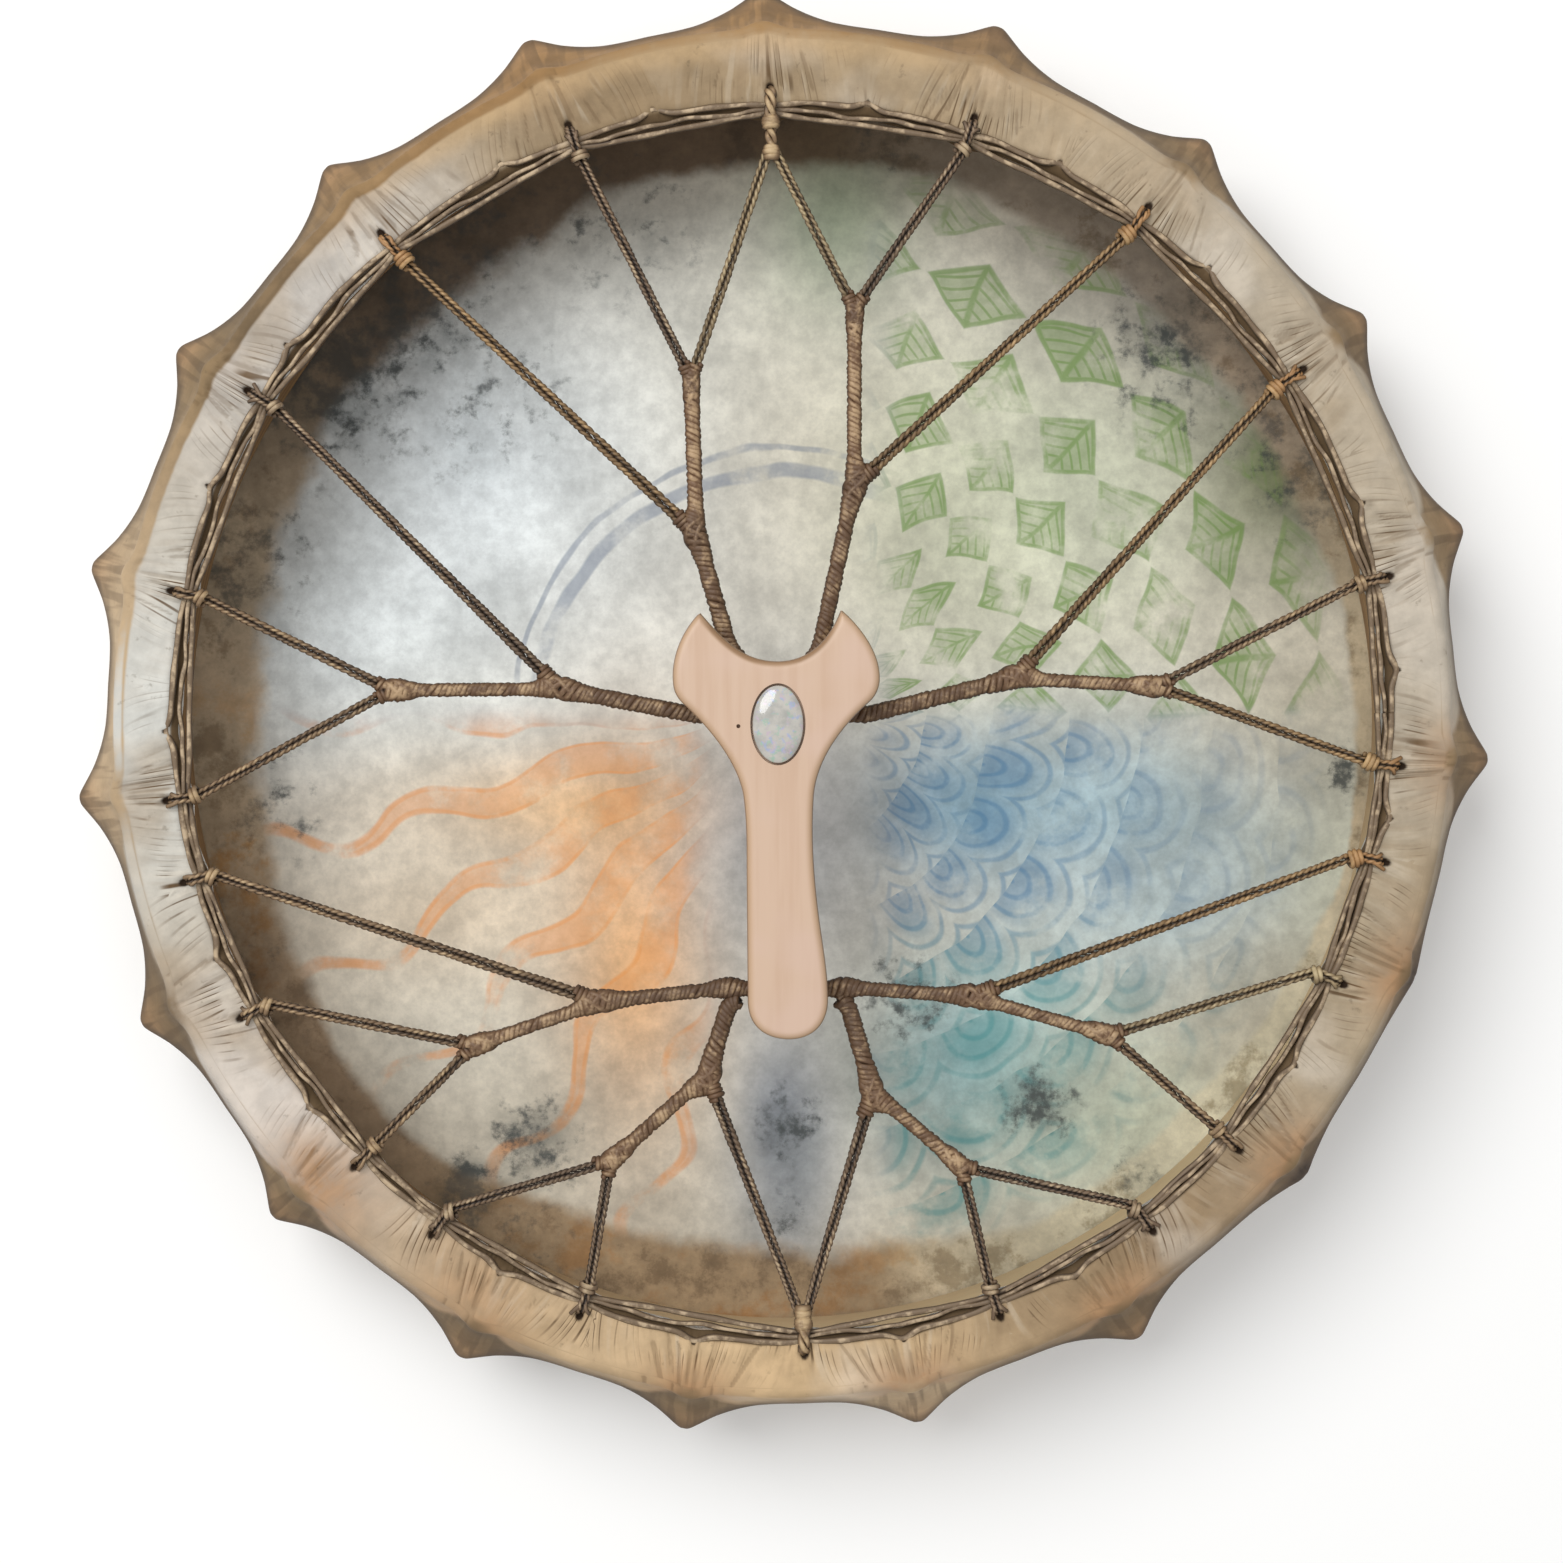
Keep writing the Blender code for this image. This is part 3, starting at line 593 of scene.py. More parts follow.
# %% Forming the outer skin
def place_outer(co):
    """Moves the spun points of the outer skin into the drum's form; returns them and their values."""
    radius = np.hypot(co[:, 0], co[:, 1])
    height = co[:, 2].copy()
    step = np.arctan2(co[:, 1], co[:, 0]) / math.tau * peg_count
    number = np.round(step)
    offset = (step - number) * 2
    place = number + np.sign(offset) * np.abs(offset) ** 1.15 / 2
    angle = peg_angle(place)
    away = np.abs(place - np.round(place)) * 2
    placed = radius * egg(angle)
    fold_radius = shell_radius - back_fold
    fold = fold_radius * egg(angle)
    lip = (height > drum_depth / 2) & (radius < fold_radius)
    wall = (radius > shell_radius - 0.2 * MM) & (height > head_fold * 0.9)
    wall &= height < drum_depth - back_fold * 0.9
    placed[wall] += side_rise(place, height)[wall]
    # over a peg the skin leaves the back fold in a wide curve
    soft = bump(away, 0.16) * np.clip((height - (drum_depth - 22 * MM)) / (18 * MM), 0, 1)
    shoulder = soft * np.clip((radius - (shell_radius - 14 * MM)) / (14 * MM), 0, 1)
    # the lip runs from the fold to its edge against the lacing
    along = (fold_radius - radius) / (fold_radius - (shell_radius - lip_width))
    placed[lip] = (fold + (lip_edge_radius(angle) - fold) * along)[lip]
    placed += 3.2 * MM * shoulder
    height -= 0.9 * MM * shoulder
    # the creases of a peg draw together towards it: spread is 1 at the lip's edge and grows outwards
    spread = np.where(lip, (fan_beyond + lip_width) / (fan_beyond + lip_width * np.clip(along, 0, 1)), 1.0)
    gap = angle_gap(angle, peg_angle(number))
    fanned = angle + gap * (spread - 1) * bump(away, 0.7)
    # how far up from the tent's tip to the fold, and on over the lip
    up = np.where(lip, 1.0 + along * 1.2, (height - peg_height) / (drum_depth - back_fold - peg_height))
    drawn = press_ridges(angle, placed, height, up)
    placed -= drawn * (height < drum_depth - back_fold)
    height -= drawn * lip
    upper = np.nonzero((height > drum_depth / 2) & (radius < shell_radius) & (radius > 200 * MM))[0]
    x, y = placed[upper] * np.cos(angle[upper]), placed[upper] * np.sin(angle[upper])
    lacing_angle = np.arctan2(y - lacing_shift, x)
    beyond = np.hypot(x, y - lacing_shift) - ring_radius(lacing_angle)
    lifted = height[upper]
    crease = np.zeros(len(co))
    hole = np.zeros(len(co))
    crease[upper] = press_creases(angle[upper], placed[upper], beyond, spread[upper], lifted)
    hole[upper] = press_holes(x, y, lifted)
    height[upper] = lifted
    anchor_gap = nearest_gap(about_lacing(angle), anchors)
    pleats = np.maximum(np.maximum(bump(away, 0.5), bump(anchor_gap, math.radians(4))), 0.3)
    down = np.where(height > 1 * MM, np.clip((drum_depth - height) / drum_depth, 0, 1), 1.0)
    # the wall's brown creeps over the fold at the left; at the right and the stem it starts lower down
    creeping = 0.08 * swell_deg(angle, 150, 50)
    rightward = np.clip(2.4 * swell_deg(angle, 310, 125), 0, 1)
    worn_over = 0.28 * rightward + 0.10 * swell_deg(angle, 184, 20)
    creeping -= worn_over * (1 - bump(away, 0.4)) * ~lip
    from_fold = np.where(lip, -along, down)  # below 0 on the lip, over 0 on the wall
    short = tip_rises[number.astype(int) % peg_count] < peg_rise
    over_tip = (height - peg_height) / MM
    values = {
        "crease": np.maximum(crease / (0.6 * MM), drawn / (0.9 * MM)),
        "hole": hole,
        "side": from_fold + creeping,
        "fold": bump(from_fold + creeping * lip, 0.035) * (1 - 0.8 * rightward),
        "tented": bump(away, 0.5) * wall,
        "stain": lip_stains(angle, away, along),
        "nub": short * wall * bump(away, 0.2) * bump(over_tip - 8, 20),
        "tip": bump(away, 0.22) * bump(over_tip, 17) * wall,
        "warm": np.clip(1.3 * swell_deg(angle, 100, 42), 0, 1),
        "faded": 0.8 * swell_deg(angle, 176, 26) + 0.7 * swell_deg(angle, 281, 14),
        "pleats": pleats * lip * np.clip(along / 0.5, 0.1, 1),
        "fan": polar_points(shell_radius, fanned, placed * 0.14),
        # painted shade: a dark line along the wall's outline
        "outline": widest_outline_shade(placed, height, step) * ~lip,
    }
    return polar_points(placed, angle, height), values, lip_colour(angle)


print("the outer skin can be formed")

# %% The inner skin
skin = 1.8 * MM


def inner_profile():
    head = [(r * MM, skin) for r in (0, *range(8, 236, 6), 239)]
    fold = arc((shell_radius - head_fold, head_fold), head_fold - skin, -90, 0, 3)
    side = [(shell_radius - skin, z * MM) for z in (14, 26, 38, 48, 58, 68, 78)]
    under = [(shell_radius - back_fold, drum_depth - skin)]
    lip_in = shell_radius - lip_width
    reach, drop = TUCKED_EDGE[-1]
    edge = [(lip_in, drum_depth - lip_drop - skin)]
    edge.append((lip_in - reach * MM, drum_depth - lip_drop - drop * MM - 1.5 * MM))
    return head + fold + side + under + edge


def place_inner(co):
    """Moves the spun points of the inner skin into the drum's form."""
    radius = np.hypot(co[:, 0], co[:, 1])
    height = co[:, 2].copy()
    place = np.arctan2(co[:, 1], co[:, 0]) / math.tau * peg_count
    angle = peg_angle(place)
    placed = radius * egg(angle)
    wall = (radius > shell_radius - skin * 1.1) & (height < drum_depth - back_fold * 0.9)
    placed[wall] += side_rise(place, height)[wall]
    edge = (height > drum_depth / 2) & (radius < shell_radius - 10 * MM)
    placed[edge] = (lip_edge_radius(angle) + radius - (shell_radius - lip_width))[edge]
    return polar_points(placed, angle, height)


print("the inner skin's profile has", len(inner_profile()), "points")

# %% [markdown]
# ## Stains, washes and painted shadow on the membrane
#
# The head is painted on its outer face, and the paint shows through. Soot, damp and handling have
# stained it too. These broad areas are stored on the inner skin's points: the colour of the ground, the
# bands beside the hoop, which are partly stain and partly painted shadow of the hoop and the lip, and
# the density of the mould and of the ochre in the bands. The ground and the mould are sums of a few soft
# spots, laid down in millimetres about the lacing's centre. The finish adds the fine detail.

# %% Spots of colour
GROUND = tint(214, 208, 192)
# middle x and y, half width and half height, colour, strength
WASHES = [
    # the first two spots, pale and bluish at the upper left and left, are partly the skin's pale tone and
    # partly a painted reflection of the light on its semi-gloss surface
    (-120, 95, 120, 110, tint(204, 212, 216), 0.9),
    (-165, 20, 75, 70, tint(222, 230, 232), 0.9),
    (20, 150, 90, 70, tint(204, 203, 188), 0.6),
    (30, 90, 60, 70, tint(216, 208, 188), 0.7),
    (110, 85, 75, 75, tint(202, 208, 182), 0.8),
    (60, 70, 45, 60, tint(196, 200, 172), 0.6),
    (183, 88, 36, 42, tint(114, 120, 84), 0.85),
    (20, 185, 32, 40, tint(160, 178, 145), 0.75),
    (150, 165, 60, 45, tint(172, 165, 155), 0.7),
    (70, -35, 45, 28, tint(95, 150, 180), 0.9),
    (130, -35, 90, 40, tint(158, 186, 196), 0.9),
    (150, -75, 75, 40, tint(170, 190, 195), 0.8),
    (75, -130, 50, 45, tint(120, 175, 185), 0.85),
    (125, -150, 60, 45, tint(198, 208, 186), 0.7),
    (205, -60, 30, 60, tint(198, 202, 182), 0.6),
    (176, -104, 35, 32, tint(208, 202, 182), 0.6),
    (-85, -35, 80, 22, tint(230, 180, 118), 0.85),
    (-55, -90, 32, 75, tint(228, 166, 96), 0.85),
    (-125, -70, 60, 35, tint(222, 195, 160), 0.6),
    (-140, -30, 60, 45, tint(212, 206, 190), 0.6),
    (185, 5, 45, 45, tint(208, 202, 182), 0.8),
    (0, -45, 45, 70, tint(165, 168, 172), 0.85),
    (2, -165, 24, 60, tint(164, 170, 178), 0.9),
    (-2, -147, 15, 28, tint(128, 134, 144), 0.7),
    (5, -166, 13, 24, tint(128, 134, 136), 0.6),
    (-100, -150, 60, 50, tint(196, 188, 170), 0.6),
]
# middle x and y, radius and density
MOULD = [
    (-170, 130, 45, 1.2), (-140, 150, 40, 1.0), (-110, 115, 45, 0.6), (-205, 60, 40, 0.9),
    (-120, 185, 40, 0.9), (-190, -35, 30, 0.6), (-215, -85, 40, 0.7), (-195, -115, 40, 0.4),
    (-92, -160, 22, 1.0), (-117, -177, 17, 1.5), (-95, -200, 26, 0.7), (-150, -165, 30, 0.4),
    (-60, 185, 50, 0.5), (150, 135, 40, 0.9), (200, 85, 30, 1.0), (185, 110, 30, 0.8), (210, -22, 12, 1.3),
    (95, -145, 16, 1.3), (130, -170, 14, 0.9), (45, -105, 22, 0.9), (160, 165, 35, 0.6), (2, -152, 19, 0.9),
    (40, 215, 25, 0.6), (175, -95, 22, 0.3), (0, -190, 20, 0.6),
]
# middle angle and half angle in degrees, width in millimetres and colour of a band of stain and painted
# shadow inside the hoop
BANDS = [
    (176, 50, 26, tint(190, 170, 140)),
    (126, 34, 26, tint(112, 92, 68)),
    (98, 52, 17, tint(98, 76, 52)),
    (52, 32, 17, tint(162, 150, 134)),
    (28, 20, 16, tint(190, 170, 146)),
    (5, 22, 7, tint(190, 174, 144)),
    (224, 36, 12, tint(152, 128, 100)),
    (264, 38, 23, tint(160, 134, 100)),
    (314, 34, 9, tint(218, 213, 188)),
]
hoop_inside = 237 * MM  # radius at which the bands begin
SPREAD = 1 + (drum_depth - 2 * MM) / camera_height  # the spots lie this much wider on the deep head
print(len(WASHES), "washes,", len(MOULD), "damp spots and", len(BANDS), "bands inside")

# %% Laying the spots down
def soft_spot(x, y, middle_x, middle_y, half_width, half_height):
    """1 at the spot's middle, falling softly to nothing a little beyond its half width and height."""
    scale = SPREAD * MM
    return bump(np.hypot((x / scale - middle_x) / half_width, (y / scale - middle_y) / half_height), 0.85)


def ground_values(co):
    """The membrane's ground colour and band colour, and its band, mould and ochre, at each point."""
    x, y = co[:, 0], co[:, 1] - lacing_shift
    angle, radius = np.arctan2(y, x), np.hypot(x, y)
    colour = plain_colour(GROUND, len(co))
    for middle_x, middle_y, half_width, half_height, wash, strength in WASHES:
        share = soft_spot(x, y, middle_x, middle_y, half_width, half_height) * strength
        colour = tinted(colour, wash, share)
    mould = np.zeros(len(co))
    for middle_x, middle_y, size, density in MOULD:
        mould = np.maximum(mould, soft_spot(x, y, middle_x, middle_y, size, size) * density)
    band = np.zeros(len(co))
    band_colour = plain_colour(BANDS[0][3], len(co))
    # bands inside the hoop: partly stain, partly painted shadow of the hoop and the lip
    for middle, half, width, shade in BANDS:
        share = swell_deg(angle, middle, half)
        reach = np.clip(1.0 - (hoop_inside - radius) / (width * MM * np.sqrt(share) + 1e-6), -1, 1)
        band = np.maximum(band, np.where(share > 0, 0.5 + 0.5 * reach, 0))
        band_colour = tinted(band_colour, shade, share ** 0.5)
    ochre = np.maximum(swell_deg(angle, 196, 26), swell_deg(angle, 262, 34))
    return colour, band_colour, {"band": band, "mould": mould, "ochre": ochre}


print("the spots can be laid down")

# %% Joining the skins
def face_heights(mesh):
    """The height of each face's middle."""
    centres = np.empty(len(mesh.polygons) * 3)
    mesh.polygons.foreach_get("center", centres)
    return centres.reshape(-1, 3)[:, 2]


def make_outer_mesh():
    mesh = mesh_of(spin_profile(outer_profile(), outer_steps), "outer_skin")
    placed, values, colour = place_outer(coordinates(mesh))
    move_points(mesh, placed)
    store(mesh, values)
    store_colour(mesh, "lip_tint", colour)
    mesh.polygons.foreach_set("material_index", np.where(face_heights(mesh) < 0.2 * MM, 2, 0))
    return mesh


def make_inner_mesh():
    mesh = mesh_of(spin_profile(inner_profile(), peg_count * 12), "inner_skin")
    placed = place_inner(coordinates(mesh))
    move_points(mesh, placed)
    colour, band_colour, values = ground_values(placed)
    store(mesh, values)
    store_colour(mesh, "ground", colour)
    store_colour(mesh, "band_colour", band_colour)
    mesh.polygons.foreach_set("material_index", np.ones(len(mesh.polygons), dtype=int))
    return mesh


def make_skin():
    """Both skins, bridged at the lip's edge; finish 0 is outside, 1 inside and 2 on the head's face."""
    bm = bmesh.new()
    bm.from_mesh(make_outer_mesh())
    bm.from_mesh(make_inner_mesh())
    bmesh.ops.bridge_loops(bm, edges=[edge for edge in bm.edges if edge.is_boundary])
    bmesh.ops.recalc_face_normals(bm, faces=bm.faces)
    open_edges = sum(edge.is_boundary for edge in bm.edges)
    print(f"skin: {len(bm.faces)} faces, {open_edges} open edges, {bm.calc_volume() * 1e6:.0f} cm3")
    return mesh_of(bm, "hide_skin")


skin_mesh = make_skin()
skin_mesh.shade_smooth()

# %% [markdown]
# ## Finishes of the skin
#
# The rawhide outside is beige where it folds in over the back and browner down the side. Creases,
# eyelets and the wear on the tents come from the values that were stored while the skin was pressed.
# Creases, pleats, eyelets and the tucked edge are darkened with painted shade, the pleats also get
# painted highlights, the tents' tips are partly a painted highlight, and the wall's outline is a painted
# line of shade.
# Inside, the same skin shows its ground colours, bands in the hoop's lee that are partly stain and
# partly painted shadow, specks of mould and the painting, which is a plain pattern of lozenges, scallops
# and rays in broad areas of colour.

# %% Short names for common nodes
def calc(tree, operation, *values):
    """A Math node on one to three sockets or numbers."""
    return add_node(tree, "ShaderNodeMath", dict(enumerate(values)), operation=operation).outputs[0]


def times(tree, first, second):
    return calc(tree, "MULTIPLY", first, second)


def plus(tree, first, second):
    return calc(tree, "ADD", first, second)


def minus(tree, first, second):
    return calc(tree, "SUBTRACT", first, second)


def gap_between(tree, first, second):
    return calc(tree, "ABSOLUTE", minus(tree, first, second))


def fade(tree, value, low, high, start=0.0, end=1.0):
    """Maps low..high smoothly to start..end and holds the ends."""
    inputs = {"Value": value, "From Min": low, "From Max": high, "To Min": start, "To Max": end}
    return add_node(tree, "ShaderNodeMapRange", inputs, interpolation_type="SMOOTHSTEP").outputs["Result"]


def mix(tree, factor, first, second, blend="MIX"):
    """One colour laid over another."""
    inputs = {0: factor, 6: first, 7: second}
    return add_node(tree, "ShaderNodeMix", inputs, data_type="RGBA", blend_type=blend).outputs[2]


def lay_over(tree, colour, *layers):
    """Shades laid over a colour one after another, each as strongly as the product of its masks."""
    for shade, strength, *masks in layers:
        for mask in masks:
            strength = times(tree, strength, mask)
        colour = mix(tree, strength, colour, shade)
    return colour


def shaded(tree, colour, value):
    """A colour multiplied by one value."""
    inputs = {"Red": value, "Green": value, "Blue": value}
    grey = add_node(tree, "ShaderNodeCombineColor", inputs).outputs[0]
    return mix(tree, 1.0, colour, grey, "MULTIPLY")


print("short names for sums and mixtures are ready")

# %% Short names for places, values and groups
def give_colour(tree, shader, colour):
    tree.links.new(colour, shader.inputs["Base Color"])


def axes_of(tree, vector):
    """The X, Y and Z of a vector."""
    return add_node(tree, "ShaderNodeSeparateXYZ", {"Vector": vector}).outputs


def add_relief(tree, shader, height, distance, strength):
    """Bumps in a shader's surface."""
    inputs = {"Height": height, "Distance": distance, "Strength": strength}
    relief = add_node(tree, "ShaderNodeBump", inputs)
    tree.links.new(relief.outputs["Normal"], shader.inputs["Normal"])


def noise(tree, vector, scale, detail=3.0, roughness=0.55, stretch=None):
    """Cloudy values about 0.5, with the number of clouds to a metre given by scale."""
    if stretch:
        inputs = {0: vector, 1: stretch}
        vector = add_node(tree, "ShaderNodeVectorMath", inputs, operation="MULTIPLY").outputs[0]
    inputs = {"Vector": vector, "Scale": scale, "Detail": detail, "Roughness": roughness}
    return add_node(tree, "ShaderNodeTexNoise", inputs).outputs["Fac"]


def place_of(tree):
    """Where a point is on the drum, in metres."""
    return add_node(tree, "ShaderNodeTexCoord").outputs["Object"]


def stored(tree, name, output="Fac"):
    """A value, a vector or a colour that is stored on the mesh."""
    return add_node(tree, "ShaderNodeAttribute", attribute_name=name).outputs[output]


def new_group(name, inputs, outputs):
    """A node group with named sockets; returns it, what it is given and what it puts out."""
    group = bpy.data.node_groups.new(name, "ShaderNodeTree")
    for kind, names in (("INPUT", inputs), ("OUTPUT", outputs)):
        for label, socket in names.items():
            group.interface.new_socket(label, in_out=kind, socket_type="NodeSocket" + socket)
    return group, group.nodes.new("NodeGroupInput").outputs, group.nodes.new("NodeGroupOutput").inputs


def place_group(tree, group, inputs=None):
    """The outputs of a group placed in a tree with its own inputs."""
    return add_node(tree, "ShaderNodeGroup", inputs, node_tree=group).outputs


print("short names for places, values and groups are ready")

# %% Figures of the painting
CELL_DEPTH = 0.029  # of a row of lozenges or scallops, in metres from the drum's middle outwards
CELLS_ROUND = 25
RAYS_ROUND = 24


def lozenges(tree, cell_out, cell_side):
    """Lozenges with a spine and ribs: their lines and their fill."""
    lozenge = plus(tree, cell_side, gap_between(tree, cell_out, 0.5))
    fill = fade(tree, lozenge, 0.50, 0.40)
    rim = fade(tree, gap_between(tree, lozenge, 0.43), 0.055, 0.02)
    spine = times(tree, fade(tree, cell_side, 0.04, 0.012), fill)
    ribs = calc(tree, "PINGPONG", plus(tree, cell_out, times(tree, cell_side, 0.8)), 0.08)
    ribs = times(tree, fade(tree, ribs, 0.03, 0.01), fade(tree, lozenge, 0.42, 0.38))
    return calc(tree, "MAXIMUM", rim, calc(tree, "MAXIMUM", spine, ribs)), fill


def scallops(tree, cell_out, cell_side):
    """Scallops of nested arcs."""
    height = calc(tree, "POWER", times(tree, cell_out, 0.7), 2.0)
    reach = calc(tree, "SQRT", plus(tree, calc(tree, "POWER", cell_side, 2.0), height))
    arcs = fade(tree, calc(tree, "PINGPONG", reach, 0.095), 0.045, 0.010, 0.0, 0.75)
    return arcs, fade(tree, reach, 0.62, 0.30)


def rays(tree, radius, angle):
    """Tapering rays with wavy sides."""
    wave = times(tree, calc(tree, "SINE", times(tree, radius, 95.0)), 0.16)
    beam = calc(tree, "PINGPONG", plus(tree, times(tree, angle, RAYS_ROUND / math.tau), wave), 0.5)
    ray = minus(tree, fade(tree, radius, 0.055, 0.20, 0.32, 0.02), beam)
    return fade(tree, calc(tree, "ABSOLUTE", ray), 0.045, 0.01), fade(tree, ray, -0.02, 0.05)


def faint_rings(tree, x, y, radius):
    """Two thin rings round the middle, at the upper left only."""
    wide = fade(tree, gap_between(tree, radius, 0.098), 0.0035, 0.0020)
    thin = fade(tree, gap_between(tree, radius, 0.107), 0.0016, 0.0006)
    part = times(tree, fade(tree, y, 0.0, 0.02), fade(tree, x, 0.05, 0.02))
    return times(tree, calc(tree, "MAXIMUM", wide, thin), part)


print("figures for the painting:", CELLS_ROUND, "cells to a row and", RAYS_ROUND, "rays")

# %% Group: the drum painting
def make_painting():
    """Plain figures in three broad areas: lozenges, scallops and rays. Puts out masks and an ink."""
    tree, _, outputs = new_group("drum_painting", {}, {"Lines": "Float", "Fill": "Float", "Ink": "Color"})
    place = place_of(tree)
    # a slow noise moves each place a little, so that no line is dead true
    clouds = {"Vector": place, "Scale": 18.0, "Detail": 2.0}
    warp = {0: add_node(tree, "ShaderNodeTexNoise", clouds).outputs["Color"], 1: (0.5, 0.5, 0.5)}
    shift = add_node(tree, "ShaderNodeVectorMath", warp, operation="SUBTRACT").outputs[0]
    sway = {0: shift, 1: (0.016, 0.016, 0.0), 2: place}
    axes = axes_of(tree, add_node(tree, "ShaderNodeVectorMath", sway, operation="MULTIPLY_ADD").outputs[0])
    x, y = axes["X"], minus(tree, axes["Y"], lacing_shift)
    radius = calc(tree, "SQRT", plus(tree, times(tree, x, x), times(tree, y, y)))
    angle = calc(tree, "ARCTAN2", y, x)
    # cells in rows round the drum; every second row is moved by half a cell
    out = calc(tree, "DIVIDE", radius, CELL_DEPTH)
    odd = times(tree, calc(tree, "MODULO", calc(tree, "FLOOR", out), 2.0), 0.5)
    across = plus(tree, times(tree, angle, CELLS_ROUND / math.tau), odd)
    cell_out = calc(tree, "FRACT", out)
    cell_side = gap_between(tree, calc(tree, "FRACT", across), 0.5)
    # which figure stands where: green upper right, blue lower right, orange lower left
    right = fade(tree, x, 0.030, 0.050)
    lower = fade(tree, y, 0.006, -0.012)
    green = times(tree, right, fade(tree, y, -0.006, 0.006))
    blue = times(tree, times(tree, right, lower), fade(tree, x, 0.19, 0.10, 0.45, 1.0))
    orange = times(tree, fade(tree, x, -0.020, -0.045), lower)
    figures = [(green, lozenges(tree, cell_out, cell_side)), (blue, scallops(tree, cell_out, cell_side))]
    figures.append((orange, rays(tree, radius, angle)))
    lines, fill = 0.0, 0.0
    for area, (figure_lines, figure_fill) in figures:
        lines = plus(tree, lines, times(tree, area, figure_lines))
        fill = plus(tree, fill, times(tree, area, figure_fill))
    inside = fade(tree, radius, 0.232, 0.205)
    lines = calc(tree, "MAXIMUM", times(tree, lines, inside), faint_rings(tree, x, y, radius))
    blue_ink = mix(tree, fade(tree, y, -0.07, -0.12), tint(54, 116, 158), tint(42, 140, 144))
    ink = mix(tree, green, tint(112, 124, 144), tint(104, 142, 54))
    ink = mix(tree, blue, ink, blue_ink)
    ink = mix(tree, orange, ink, tint(228, 146, 62))
    tree.links.new(lines, outputs["Lines"])
    tree.links.new(times(tree, fill, inside), outputs["Fill"])
    tree.links.new(ink, outputs["Ink"])
    return tree


def painted_over(tree, colour, worn, fill_share, line_share):
    """A colour with the painting laid over it, where it isn't worn off."""
    art = place_group(tree, painting)
    fill = (art["Ink"], art["Fill"], worn, fill_share)
    lines = (art["Ink"], art["Lines"], worn, line_share)
    return lay_over(tree, colour, fill, lines)


painting = make_painting()
print("painting group:", len(painting.nodes), "nodes")

# %% Finish: rawhide outside
PLEATS_ROUND = 500  # places for a sharp pleat round the drum


def sharp_pleats(tree, place, fan, pleats):
    """Thin lines of painted shade in loose groups, for the sharp pleats: how far each point is from one,
    and where the groups are.
    """
    around = axes_of(tree, fan)
    turn = times(tree, calc(tree, "ARCTAN2", around["Y"], around["X"]), PLEATS_ROUND / math.tau)
    strayed = calc(tree, "MULTIPLY_ADD", noise(tree, fan, 75.0, 1.0), 6.0, turn)
    grouped = times(tree, pleats, fade(tree, noise(tree, place, 60.0, 1.0), 0.45, 0.58))
    return calc(tree, "PINGPONG", strayed, 0.5), grouped


def lip_shades(tree, broad, side):
    """The lip with its clouds and its golden rim."""
    return lay_over(
        tree, stored(tree, "lip_tint", "Color"),
        (tint(206, 198, 186), fade(tree, broad, 0.50, 0.64, 0.0, 0.4)),
        (tint(150, 128, 98), fade(tree, broad, 0.46, 0.34, 0.0, 0.45)),
        (tint(184, 156, 118), stored(tree, "warm"), fade(tree, side, -0.5, -0.05, 0.0, 0.75)),
    )


def wall_shades(tree, broad, side, streak):
    """The side wall: brown, faded here and there, with lighter tips, partly worn and partly a painted
    highlight on the ridge, and dark nubs on the short tents.
    """
    return lay_over(
        tree, tint(112, 94, 71),
        (tint(140, 118, 88), fade(tree, broad, 0.40, 0.60)),
        (tint(116, 96, 68), fade(tree, side, 0.03, 0.22, 0.0, 0.6)),
        (tint(194, 170, 138), stored(tree, "faded")),
        (tint(150, 112, 66), stored(tree, "warm"), 0.6),
        # the tips: partly wear, partly a painted highlight on the ridge
        (tint(172, 136, 100), stored(tree, "tip"), 0.7),
        (tint(48, 32, 20), stored(tree, "nub"), 1.1),
        (tint(86, 68, 48), fade(tree, streak, 0.54, 0.42, 0.0, 0.45), stored(tree, "tented")),
    )


